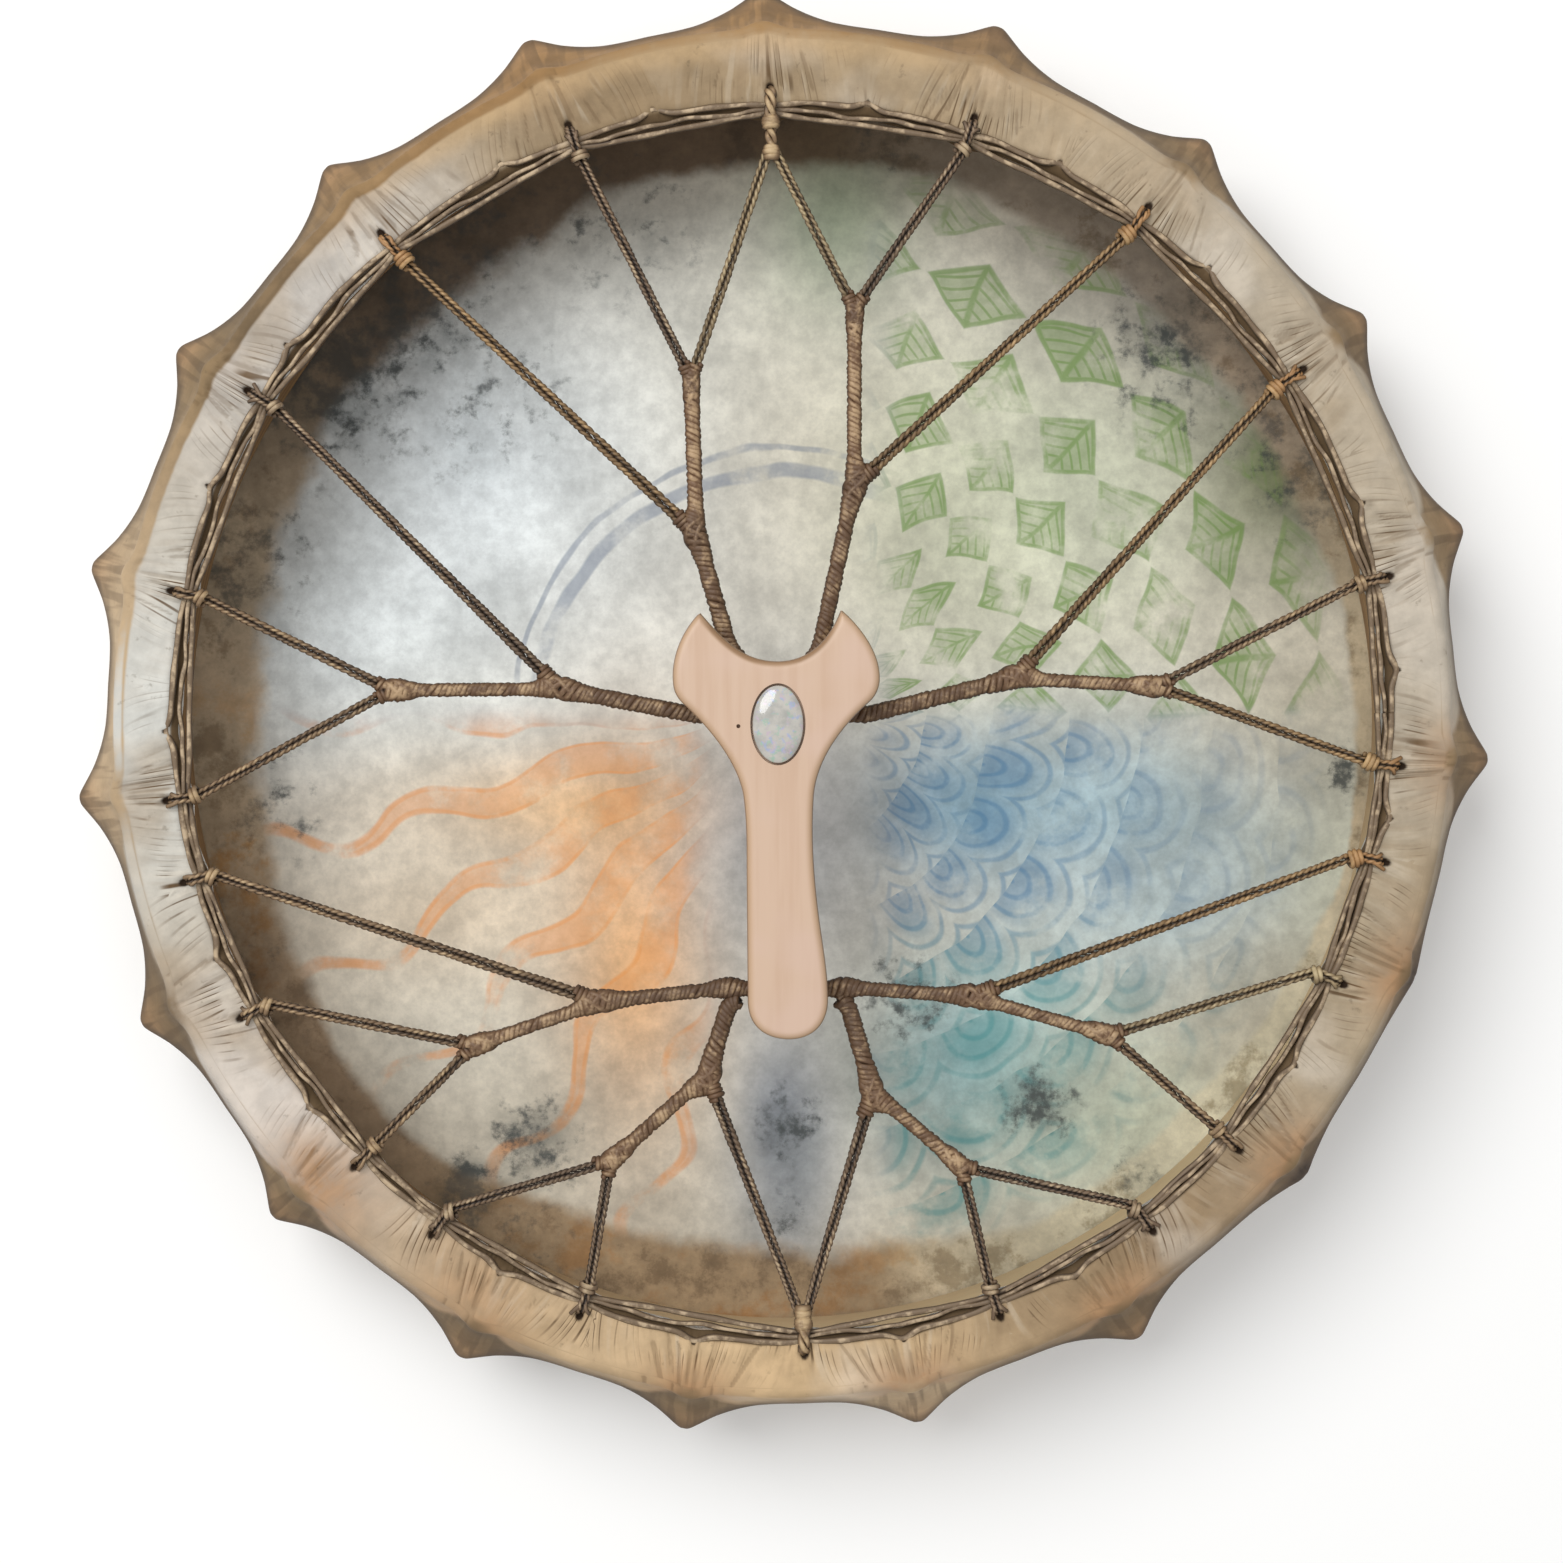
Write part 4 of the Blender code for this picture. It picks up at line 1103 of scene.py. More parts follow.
def make_rawhide():
    finish, tree, shader = new_finish("rawhide", 0.62)
    shader.inputs["Specular IOR Level"].default_value = 0.08
    place = place_of(tree)
    broad = noise(tree, place, 14.0, 3.0)
    fine = noise(tree, place, 90.0, 5.0, 0.65)
    side = stored(tree, "side")
    # fine pleats run across the lip and draw together towards each peg; their streaks are painted shade and
    # painted highlight
    fan = stored(tree, "fan", "Vector")
    streak = noise(tree, fan, 250.0, 2.0, 0.5)
    pleats = stored(tree, "pleats")
    off_line, grouped = sharp_pleats(tree, place, fan, pleats)
    lip = lay_over(
        tree, lip_shades(tree, broad, side),
        # painted shade and painted highlight along the pleats, then thin lines of painted shade
        (tint(134, 112, 86), fade(tree, streak, 0.50, 0.66, 0.0, 0.30), pleats),
        (tint(216, 205, 186), fade(tree, streak, 0.46, 0.34, 0.0, 0.25), pleats),
        (tint(96, 76, 54), fade(tree, off_line, 0.13, 0.04), grouped),
        (tint(160, 124, 90), stored(tree, "stain"), fade(tree, fine, 0.35, 0.6, 0.7, 1.0)),
    )
    # the lip gives way to the wall along an uneven line
    uneven = plus(tree, side, times(tree, minus(tree, fine, 0.5), 0.10))
    colour = lay_over(
        tree, lip,
        (wall_shades(tree, broad, side, streak), fade(tree, uneven, -0.04, 0.04)),
        (tint(150, 124, 92), stored(tree, "fold"), fade(tree, fine, 0.35, 0.6, 0.0, 0.15)),
        # painted shade along the wall's outline
        (tint(66, 50, 34), stored(tree, "outline"), 0.8),
        # painted shade on the tucked edge under the lacing's strands
        (tint(98, 80, 58), fade(tree, side, -1.0, -1.10)),
    )
    specks = noise(tree, place, 210.0, 4.0, 0.6)
    colour = lay_over(
        tree, shaded(tree, colour, fade(tree, fine, 0.30, 0.70, 0.86, 1.08)),
        (tint(96, 84, 66), fade(tree, specks, 0.64, 0.76, 0.0, 0.4)),
        # painted shade in the pressed creases
        (tint(98, 78, 55), fade(tree, stored(tree, "crease"), 0.45, 1.0, 0.0, 0.35)),
        # painted shade in the eyelets and small holes, which are only dents
        (tint(44, 32, 22), fade(tree, stored(tree, "hole"), 0.35, 0.85)),
    )
    give_colour(tree, shader, colour)
    relief = minus(tree, times(tree, fine, 0.4), times(tree, streak, pleats))
    add_relief(tree, shader, plus(tree, relief, times(tree, off_line, grouped)), 0.0012, 0.6)
    return finish


rawhide = make_rawhide()
print("rawhide:", len(rawhide.node_tree.nodes), "nodes")

# %% Finish: the membrane inside
def make_membrane():
    finish, tree, shader = new_finish("membrane", 0.42)
    place = place_of(tree)
    clouds = noise(tree, place, 22.0, 6.0, 0.62)
    fine = noise(tree, place, 160.0, 6.0, 0.7)
    patches = noise(tree, place, 34.0, 6.0, 0.7)
    shade = fade(tree, clouds, 0.30, 0.70, 0.82, 1.16)
    shade = times(tree, shade, fade(tree, fine, 0.25, 0.75, 0.84, 1.14))
    worn = fade(tree, noise(tree, place, 30.0, 5.0, 0.65), 0.34, 0.58)
    colour = painted_over(tree, shaded(tree, stored(tree, "ground", "Color"), shade), worn, 0.46, 0.62)
    # the bands of stain and painted shadow have a soft, ragged edge, and ochre and grey patches
    edge = plus(tree, stored(tree, "band"), times(tree, minus(tree, clouds, 0.5), 0.7))
    band_stain_and_shade = shaded(tree, stored(tree, "band_colour", "Color"), shade)
    ochre = times(tree, fade(tree, patches, 0.48, 0.62), stored(tree, "ochre"))
    band_stain_and_shade = mix(tree, ochre, band_stain_and_shade, tint(250, 214, 156), "MULTIPLY")
    band_stain_and_shade = mix(tree, fade(tree, patches, 0.48, 0.36), band_stain_and_shade, tint(196, 188, 176), "MULTIPLY")
    band_stain_and_shade_share = fade(tree, edge, 0.42, 0.66, 0.0, 0.92)
    colour = mix(tree, band_stain_and_shade_share, colour, band_stain_and_shade)
    # mould sits in clusters of specks on damp patches
    mould = stored(tree, "mould")
    specks = noise(tree, place, 105.0, 8.0, 0.70)
    damp = times(tree, fade(tree, patches, 0.36, 0.66), fade(tree, mould, 0.05, 1.0))
    colour = mix(tree, damp, colour, tint(200, 204, 206), "MULTIPLY")
    cluster = fade(tree, plus(tree, specks, times(tree, mould, 0.20)), 0.60, 0.80)
    grown = times(tree, fade(tree, mould, 0.05, 0.5), fade(tree, band_stain_and_shade_share, 0.0, 1.0, 0.9, 0.65))
    colour = lay_over(tree, colour, (tint(62, 68, 68), cluster, grown))
    give_colour(tree, shader, colour)
    add_relief(tree, shader, clouds, 0.002, 0.25)
    return finish


membrane = make_membrane()
print("membrane:", len(membrane.node_tree.nodes), "nodes")

# %% Finish: the painted head
def make_painted_head():
    finish, tree, shader = new_finish("painted_head", 0.45)
    place = place_of(tree)
    clouds = noise(tree, place, 16.0, 5.0, 0.6)
    colour = mix(tree, fade(tree, clouds, 0.35, 0.65), tint(206, 194, 168), tint(224, 214, 194))
    worn = fade(tree, noise(tree, place, 60.0, 5.0, 0.65), 0.28, 0.50, 0.55, 1.0)
    give_colour(tree, shader, painted_over(tree, colour, worn, 0.5, 0.9))
    return finish


painted_head = make_painted_head()
print("painted head:", len(painted_head.node_tree.nodes), "nodes")

# %% The dressed skin
place_piece("hide_skin", skin_mesh, [rawhide, membrane, painted_head], "rawhide", "hide")
print("skin dressed")

# %% [markdown]
# ## Cords
#
# Every cord here is made of thinner strands that turn round a path. A strand is a curve with a round
# bevel, which takes a radius at each point, and one curve object may hold many strands. The curve is
# then made a mesh, so that each of its points can keep three numbers: how far out it lies in the cord,
# whether it faces up, and how worn it is. By them the finish paints shade into the grooves and on the
# undersides, and a pale highlight in blotches on the tops, more of it where the cord is worn.

# %% Paths and strands
THIRDS = (0.0, math.tau / 3, -math.tau / 3)  # where three strands start round a cord


def path_at(distances, places, path):
    """The points of a path at some distances along it."""
    return np.stack([np.interp(distances, places, path[:, k]) for k in range(3)], axis=1)


def even_path(corners, step, rounds=0):
    """Evenly spaced points along a line of corners, which is rounded by repeated averaging."""
    corners = np.array([tuple(corner) for corner in corners], dtype=float)
    lengths = np.linalg.norm(np.diff(corners, axis=0), axis=1)
    along = np.concatenate([[0.0], np.cumsum(lengths)])
    places = np.linspace(0.0, along[-1], max(3, int(along[-1] / step) + 1))
    path = path_at(places, along, corners)
    for _ in range(rounds):
        path[1:-1] = (path[:-2] + 2 * path[1:-1] + path[2:]) / 4
    return path, places


def path_frame(path):
    """The unit vectors across a path: one level, one upright."""
    along = np.gradient(path, axis=0)
    along /= np.linalg.norm(along, axis=1)[:, None]
    level = np.cross(along, (0.0, 0.0, 1.0))
    level /= np.maximum(np.linalg.norm(level, axis=1)[:, None], 1e-9)
    return level, np.cross(level, along)


def wound(path, turn, half_width, half_height):
    """Points that go round a path: turn is the angle at each point, from the level side upwards."""
    level, upright = path_frame(path)
    sideways = np.asarray(half_width) * np.cos(turn)
    upwards = np.asarray(half_height) * np.sin(turn)
    return path + level * sideways[:, None] + upright * upwards[:, None]


def wander(places, size, wavelength, seed):
    """A gentle random drift along a cord, so that no strand runs dead true."""
    rng = np.random.default_rng(seed)
    drift = np.zeros(len(places))
    for share in (1.0, 0.55, 0.3):
        drift += np.sin(places / (wavelength * share) * math.tau + rng.uniform(0, math.tau)) * share
    return size * drift / 1.4


print("helpers for paths are ready")

# %% From strands to a mesh
ROWS_AT_ONCE = 4000  # points whose distances to the axis are worked out together


def strand_curve(name, strands):
    """The mesh of a curve with one round spline for each strand."""
    curve = bpy.data.curves.new(name, "CURVE")
    curve.dimensions = "3D"
    curve.bevel_depth = 1.0
    curve.bevel_resolution = 1
    curve.use_fill_caps = True
    for points, radii in strands:
        spline = curve.splines.new("POLY")
        spline.points.add(len(points) - 1)
        rows = np.concatenate([points, np.ones((len(points), 1))], axis=1)
        spline.points.foreach_set("co", rows.ravel())
        spline.points.foreach_set("radius", np.broadcast_to(radii, len(points)))
        spline.use_smooth = True
    obj = bpy.data.objects.new(name, curve)
    mesh = bpy.data.meshes.new_from_object(obj)
    bpy.data.objects.remove(obj)
    return mesh


def nearest_rows(points, axis):
    """For each point, the number of the nearest point of an axis."""
    nearest = np.empty(len(points), dtype=int)
    for start in range(0, len(points), ROWS_AT_ONCE):
        block = points[start:start + ROWS_AT_ONCE, None, :] - axis[None, :, :]
        nearest[start:start + ROWS_AT_ONCE] = np.argmin(np.sum(block ** 2, axis=2), axis=1)
    return nearest


def cord_mesh(name, strands, axis, reach, worn=0.0):
    """A mesh of strands that turn round an axis. reach is how far the cord's surface lies from it.

    The mesh keeps groove (1 on the surface), crest (1 where it faces up) and worn for the finishes."""
    mesh = strand_curve(name, strands)
    bm = bmesh.new()
    bm.from_mesh(mesh)
    bmesh.ops.remove_doubles(bm, verts=bm.verts, dist=0.001 * MM)
    bmesh.ops.recalc_face_normals(bm, faces=bm.faces)
    bm.to_mesh(mesh)
    bm.free()
    mesh.shade_smooth()
    points = coordinates(mesh)
    nearest = nearest_rows(points, axis)
    away = points - axis[nearest]
    far = np.maximum(np.linalg.norm(away, axis=1), 0.01 * MM)
    values = {"groove": far / np.broadcast_to(reach, len(axis))[nearest], "crest": away[:, 2] / far}
    values["worn"] = np.broadcast_to(worn, len(axis))[nearest]
    store(mesh, values)
    return mesh


print("strands can be made meshes")

# %% Places on the web and the rim
web_flat = 125 * MM  # the web is level within this distance of the middle
web_height = 75 * MM


def web_point(x_mm, y_mm):
    """A point of the laced web, which is level under the handle and rises to the rim."""
    outward = (math.hypot(x_mm, y_mm) * MM - web_flat) / (lace_ring - web_flat)
    height = web_height + (ring_height - web_height) * min(1.0, max(0.0, outward))
    return Vector((x_mm * MM, y_mm * MM + lacing_shift, height))


def rim_place(angle_deg, beyond, height):
    """A point beyond (or inside) the rim lacing's middle line."""
    angle = math.radians(angle_deg)
    reach = float(ring_radius(angle)) + beyond * MM
    return Vector((reach * math.cos(angle), reach * math.sin(angle) + lacing_shift, height * MM))


def beside_at(angle_deg):
    """The level direction along the rim at an angle."""
    angle = math.radians(angle_deg)
    return Vector((-math.sin(angle), math.cos(angle), 0.0))


def collar(start, end, turns, radius, thickness, swelling=0.0):
    """Turns of one strand bound round a cord from start to end, fuller in the middle by swelling."""
    share = np.linspace(0, 1, int(turns * 16))
    path = np.outer(1 - share, tuple(start)) + np.outer(share, tuple(end))
    reach = radius + swelling * np.sin(share * math.pi)
    return wound(path, share * math.tau * turns, reach, reach), thickness


print("a place on the rim:", [round(part / MM, 1) for part in rim_place(0.0, 0.0, 82.0)], "mm")

# %% [markdown]
# ## The rim lacing
#
# Three strands run round the rim. The outer one follows the lip's edge and is drawn out through a
# small hole here and there. The inner one runs straight from anchor to anchor, so it stands off the lip
# between them, and the third lies loosely along the two. All are pinched together at each anchor.

# %% Rim lacing
def rim_strands():
    angle = np.linspace(0, math.tau, 1441)
    near = nearest_gap(angle, anchors)
    pinch = bump(near, math.radians(1.6))
    notch = bump(nearest_gap(angle, notches), math.radians(1.1))
    base = ring_radius(angle)
    places = angle * lace_ring
    # a straight run between two anchors sags inwards by the bow of the arc
    after = np.searchsorted(anchors, angle) % len(anchors)
    before = (after - 1) % len(anchors)
    span = (anchors[after] - anchors[before]) % math.tau
    gone = (angle - anchors[before]) % math.tau
    chord = base * np.cos(span / 2) / np.cos(gone - span / 2)
    spread = 1.0 - pinch
    outer = base + (1.2 + 0.5 * spread + 2.6 * notch) * MM
    outer = outer + wander(places, 0.35 * MM, 60 * MM, 1) * spread
    middle = (base * 0.6 + chord * 0.4) - 0.3 * MM + wander(places, 0.7 * MM, 44 * MM, 2) * spread
    inner = chord - 1.3 * MM + wander(places, 0.3 * MM, 75 * MM, 3) * spread
    # the straight runs never leave the room that the ring has in the model
    inner = np.maximum(inner, base - 6.5 * MM)
    heights = [
        ring_height + 0.8 * MM - 0.6 * MM * notch + wander(places, 0.3 * MM, 52 * MM, 4),
        ring_height + 0.4 * MM + wander(places, 0.5 * MM, 40 * MM, 5),
        ring_height - 0.2 * MM + wander(places, 0.4 * MM, 66 * MM, 6),
    ]
    strands = []
    for radius, height, thickness in zip((outer, middle, inner), heights, (1.2, 0.95, 1.15)):
        radii = thickness * MM * (1.0 + wander(places, 0.14, 26 * MM, 7))
        strands.append((polar_points(radius, angle, height, lacing_shift), radii))
    return strands


lacing_strands = rim_strands()
lacing_axis = np.concatenate([points for points, _ in lacing_strands])
lacing_mesh = cord_mesh("rim_strands", lacing_strands, lacing_axis, 1.0 * MM)
print("rim lacing:", len(lacing_mesh.polygons), "faces")

# %% [markdown]
# ## The laces
#
# Each lace is a flat pair of plies, and each ply is two yarns twisted together. It comes up through its
# eyelet, climbs over the lip's edge and the rim lacing, and runs straight to its joint. Two turns that
# cross on the rim lacing lock it, and a few more are bound round it just inside.

# %% Laces
ply_offset = 0.95 * MM  # how far each ply lies from the lace's middle
yarn_offset = 0.45 * MM
yarn_radius = 0.68 * MM
lace_reach = ply_offset + yarn_offset + yarn_radius
lock_radius = 0.9 * MM  # of the strand that locks a lace
end_radius = 0.75 * MM  # of a cut end
GOLD_LACES = {3, 6, 8, 9, 15}
DARK_LACES = {2, 5, 12, 19, 20, 21, 22, 23, 24}
OLIVE_LACES = {1, 4, 13}


def two_ply(corners, lay, fuller, seed):
    """The yarns of a lace along its corners, its middle line, the share gone and its reach there.

    A lace grows fuller by the given share towards its joint."""
    path, places = even_path(corners, 0.6 * MM, rounds=8)
    gone = places / places[-1]
    size = 1.0 + fuller * gone ** 2
    lean = wander(places, 0.35, 60 * MM, seed)
    radii = yarn_radius * size * (1.0 + wander(places, 0.08, 17 * MM, seed + 1))
    strands = []
    for half in (0.0, math.pi):
        ply = wound(path, lean + half, ply_offset * size, ply_offset * size)
        turn = places / lay * math.tau + wander(places, 0.9, 31 * MM, seed + 2) + half * 0.4
        for twist in (0.0, math.pi):
            strands.append((wound(ply, turn + twist, yarn_offset * size, yarn_offset * size), radii))
    return strands, path, gone, lace_reach * size


print(f"a lace is {2 * lace_reach / MM:.1f} mm thick")

# %% Locks, ends and the way over the rim
def lock_turn(angle_deg, lean):
    """One turn of a lace round the rim lacing, leaning across the place where it crosses."""
    steps = 22
    turn = np.linspace(0, math.tau, steps)
    angle = math.radians(angle_deg)
    outward = np.array((math.cos(angle), math.sin(angle), 0.0))
    beside = np.array((-math.sin(angle), math.cos(angle), 0.0))
    middle = np.array(tuple(rim_place(angle_deg, 0.2, ring_height / MM)))
    drift = np.linspace(-lean, lean, steps) * MM
    points = middle + outward * (3.2 * MM * np.cos(turn))[:, None] + beside * drift[:, None]
    points[:, 2] += 2.7 * MM * np.sin(turn)
    return points, lock_radius


def lace_end(angle_deg, side, seed):
    """A short cut end of a lace that lies on the lip beside its eyelet."""
    beside = beside_at(angle_deg) * side * MM
    length = 4.6 + 1.4 * math.sin(seed * 2.3 + side)
    corners = [
        rim_place(angle_deg, 0.6, 84.9) + beside * 0.5,
        rim_place(angle_deg, 2.6, 85.2) + beside * 1.7,
        rim_place(angle_deg, length, 84.1) + beside * (2.4 + math.sin(seed * 1.7)),
    ]
    path, _ = even_path(corners, 0.7 * MM, rounds=2)
    return path, end_radius


def lace_corners(angle_deg, joint):
    """From under the eyelet, over the lip and the rim lacing, to a joint."""
    eyelet = float(eyelet_reach(math.radians(angle_deg))) + 0.2
    climb = [(eyelet, 77.2), (eyelet - 0.9, 81.0), (eyelet - 1.8, 83.2), (2.6, 84.9)]
    over = [(-0.6, 84.8), (-3.2, 83.2), (-5.0, ring_height / MM + 0.4)]
    return [rim_place(angle_deg, beyond, height) for beyond, height in climb + over] + [joint]


print("a lace climbs over the rim by", len(lace_corners(0.0, web_point(0, 0))), "corners")

# %% The laces one by one
lace_plan = []  # number, rim angle and joint
number = 0
for pair, first, third, second, _ in BUNDLES:
    for angle_deg, joint in ((pair[0], first), (pair[1], first), (third, second)):
        number += 1
        lace_plan.append((number, angle_deg, web_point(*joint)))


def loop_end(angle_deg, length):
    """Where a shared loop of some length ends."""
    return rim_place(angle_deg, -4.5 - length / MM, 81.4)


def lace_mesh(number, angle_deg, joint):
    """A lace, or the shorter one that leaves a shared loop."""
    lay = (4.6 if number in DARK_LACES else 5.4) * MM
    fuller = 0.3 if number % 3 == 0 else 0.08
    if angle_deg in SHARED_LOOPS:
        side = 1.1 if number in (1, 21) else -1.1
        start = loop_end(angle_deg, SHARED_LOOPS[angle_deg][1]) + beside_at(angle_deg) * side * MM
        strands, path, gone, reach = two_ply([start, joint], lay, fuller, number)
    else:
        strands, path, gone, reach = two_ply(lace_corners(angle_deg, joint), lay, fuller, number)
        lean = 1.3 + 0.5 * math.sin(number * 2.1)
        strands += [lock_turn(angle_deg, lean), lock_turn(angle_deg, -lean)]
        strands += [lace_end(angle_deg, 1, number), lace_end(angle_deg, -1, number)]
        inside = rim_place(angle_deg, -3.4, 82.6)
        inward = (joint - inside).normalized()
        turns = 3 if number in GOLD_LACES else 2
        bound_to = inside + inward * (1.7 * MM * turns)
        strands.append(collar(inside, bound_to, turns, 2.2 * MM, 0.95 * MM, 0.7 * MM))
    return cord_mesh(f"spoke_{number:02d}_cord", strands, path, reach, 1 - gone)


lace_meshes = {number: lace_mesh(number, angle_deg, joint) for number, angle_deg, joint in lace_plan}
print(len(lace_meshes), "laces,", sum(len(mesh.polygons) for mesh in lace_meshes.values()), "faces")

# %% [markdown]
# ## Shared loops
#
# At the middle of each end two laces leave one knotted loop. The loop comes through its eyelet as a
# short stem with a ball knot on it, and a second knot stands where the laces part.

# %% Knots and loops
knot_turns = 4.5


def ball_knot(centre, direction, radius, seed):
    """A few turns of strand heaped round a point, across the direction of the cord."""
    direction = Vector(direction).normalized()
    side = direction.cross(Vector((0, 0, 1))).normalized()
    up = side.cross(direction)
    turn = np.linspace(0, math.tau * knot_turns, 90)
    along = np.sin(turn / knot_turns + seed) * radius * 0.55
    reach = np.sqrt(np.clip(1 - (along / radius / 0.95) ** 2, 0.15, 1)) * radius * 0.72
    sideways = np.outer(reach * np.cos(turn), tuple(side))
    upwards = np.outer(reach * np.sin(turn), tuple(up))
    heaped = np.array(tuple(centre)) + np.outer(along, tuple(direction)) + sideways + upwards
    return heaped, radius * 0.40


def loop_mesh(name, angle_deg, length):
    """A twisted stem from its eyelet to where the laces part, with a ball knot at each end."""
    inward = Vector((-math.cos(math.radians(angle_deg)), -math.sin(math.radians(angle_deg)), 0.0))
    end = loop_end(angle_deg, length)
    path, places = even_path(lace_corners(angle_deg, end), 0.8 * MM, rounds=4)
    turn = places / (14 * MM) * math.tau
    strands = [(wound(path, turn + third, 1.3 * MM, 1.1 * MM), 1.15 * MM) for third in THIRDS]
    strands += [lock_turn(angle_deg, 1.6), lock_turn(angle_deg, -1.6)]
    strands.append(ball_knot(rim_place(angle_deg, -5.0, 82.0), inward, 3.3 * MM, 0.3))
    strands.append(ball_knot(end + inward * MM, inward, 3.2 * MM, 1.7))
    return cord_mesh(name, strands, path, 2.6 * MM, 1.0)


loop_meshes = {}
for angle_deg, (name, length) in SHARED_LOOPS.items():
    loop_meshes[name] = loop_mesh(name + "_knot", angle_deg, length)
print("loops:", sorted(loop_meshes))

# %% [markdown]
# ## The wrapped bundles
#
# A bundle is a core of laces bound with three strands. The binding is a helix whose turns follow the
# bundle's width, so the same function makes the slim run between the joints, the knots on the joints
# and the trunk that runs under the handle. Short sleeves bind the laces where they come in, and a few
# strands lie across the knots.

# %% Wrapped bundles
# width of each bundle in millimetres: at its first joint, between its joints and after the second
FIRST_KNOTS = [7.0, 7.2, 8.8, 9.0, 8.4, 8.6, 8.2, 8.4]
RUNS = [6.0, 5.6, 5.2, 5.2, 5.0, 5.2, 5.4, 5.6]
TRUNKS = [6.6, 6.2, 6.4, 6.4, 5.4, 5.4, 6.8, 6.8]
meeting = 48 * MM  # from a lower bundle's second joint to the place where its neighbour joins it
wrap_pitch = 6.0 * MM  # of each of the three strands
knot_half = 6.5 * MM  # half the length of the strands that lie across a knot


def bundle_profile(index, places, first_at, second_at):
    """Width of a bundle along its length: a knot at each joint, thin between them and thicker after."""
    knot, run, trunk = FIRST_KNOTS[index], RUNS[index], TRUNKS[index]
    first_knot = [0, first_at - 2 * MM, first_at + 3 * MM, first_at + 11 * MM]
    width = np.interp(places, first_knot, [5.0, knot - 0.4, knot, run])
    second_knot = [second_at - 11 * MM, second_at - 3 * MM, second_at + 2 * MM, second_at + 12 * MM]
    return (width + np.interp(places, second_knot, [0.0, 9.6 - run, 9.2 - run, trunk - run])) * MM


def wrap_strands(path, places, width, height, seed):
    """The core strands and the binding of a bundle."""
    side = (width - height) / 2 + 0.2 * MM
    thickness = height / 2 - 0.9 * MM
    core = [(wound(path, np.full(len(path), way), side, 0.0), thickness) for way in (0.0, math.pi)]
    fine = np.linspace(0, places[-1], int(places[-1] / wrap_pitch * 18))
    fine_path = path_at(fine, places, path)
    turn = fine / wrap_pitch * math.tau + wander(fine, 0.8, 23 * MM, seed)
    loose = 1.35 * MM + wander(fine, 0.10 * MM, 8 * MM, seed + 1)
    half_width = np.interp(fine, places, width) / 2 - loose
    half_height = np.interp(fine, places, height) / 2 - loose
    radii = 1.5 * MM * (1 + 0.04 * np.sin(turn * 0.37 + seed) + wander(fine, 0.04, 9 * MM, seed + 2))
    return core + [(wound(fine_path, turn + third, half_width, half_height), radii) for third in THIRDS]


def crossing_strands(path, places, width, height, centre_at, seed):
    """Strands laid steeply across a knot, against the turn of the binding."""
    strands = []
    for k, lean in enumerate((-1.0, 1.0, -0.7)):
        local = np.linspace(centre_at - knot_half, centre_at + knot_half, 40)
        local = local[(local > 0) & (local < places[-1])]
        turn = (local - centre_at) / (11 * MM) * math.tau * lean * 0.5 + math.pi / 2
        turn = turn + (k - 1) * 0.6 + 0.3 * math.sin(seed)
        # the ends dive into the binding
        sunk = 0.9 * MM * np.abs((local - centre_at) / knot_half) ** 3 + 0.9 * MM
        half_width = np.interp(local, places, width) / 2 - sunk
        half_height = np.interp(local, places, height) / 2 - sunk
        strands.append((wound(path_at(local, places, path), turn, half_width, half_height), 1.3 * MM))
    return strands


print("a binding turns once in", wrap_pitch / MM, "mm")

# %% The bundles one by one
def bundle_path(index):
    """A bundle's middle line, and how far along it the two joints lie."""
    _, first, _, second, run = BUNDLES[index]
    first, second = web_point(*first), web_point(*second)
    last = [web_point(*point) for point in run]
    # it ends a little way inside the knot under the handle
    to_knot = web_point(*(HEAD_KNOT if index < 4 else STEM_KNOT)) - last[-1]
    last.append(last[-1] + to_knot.normalized() * min((9 if index < 6 else 3.5) * MM, to_knot.length))
    first_at = 2 * MM
    corners = [first - (second - first).normalized() * first_at, first, second, *last]
    path, places = even_path(corners, 1.0 * MM, rounds=10)
    return path, places, first_at, first_at + (second - first).length


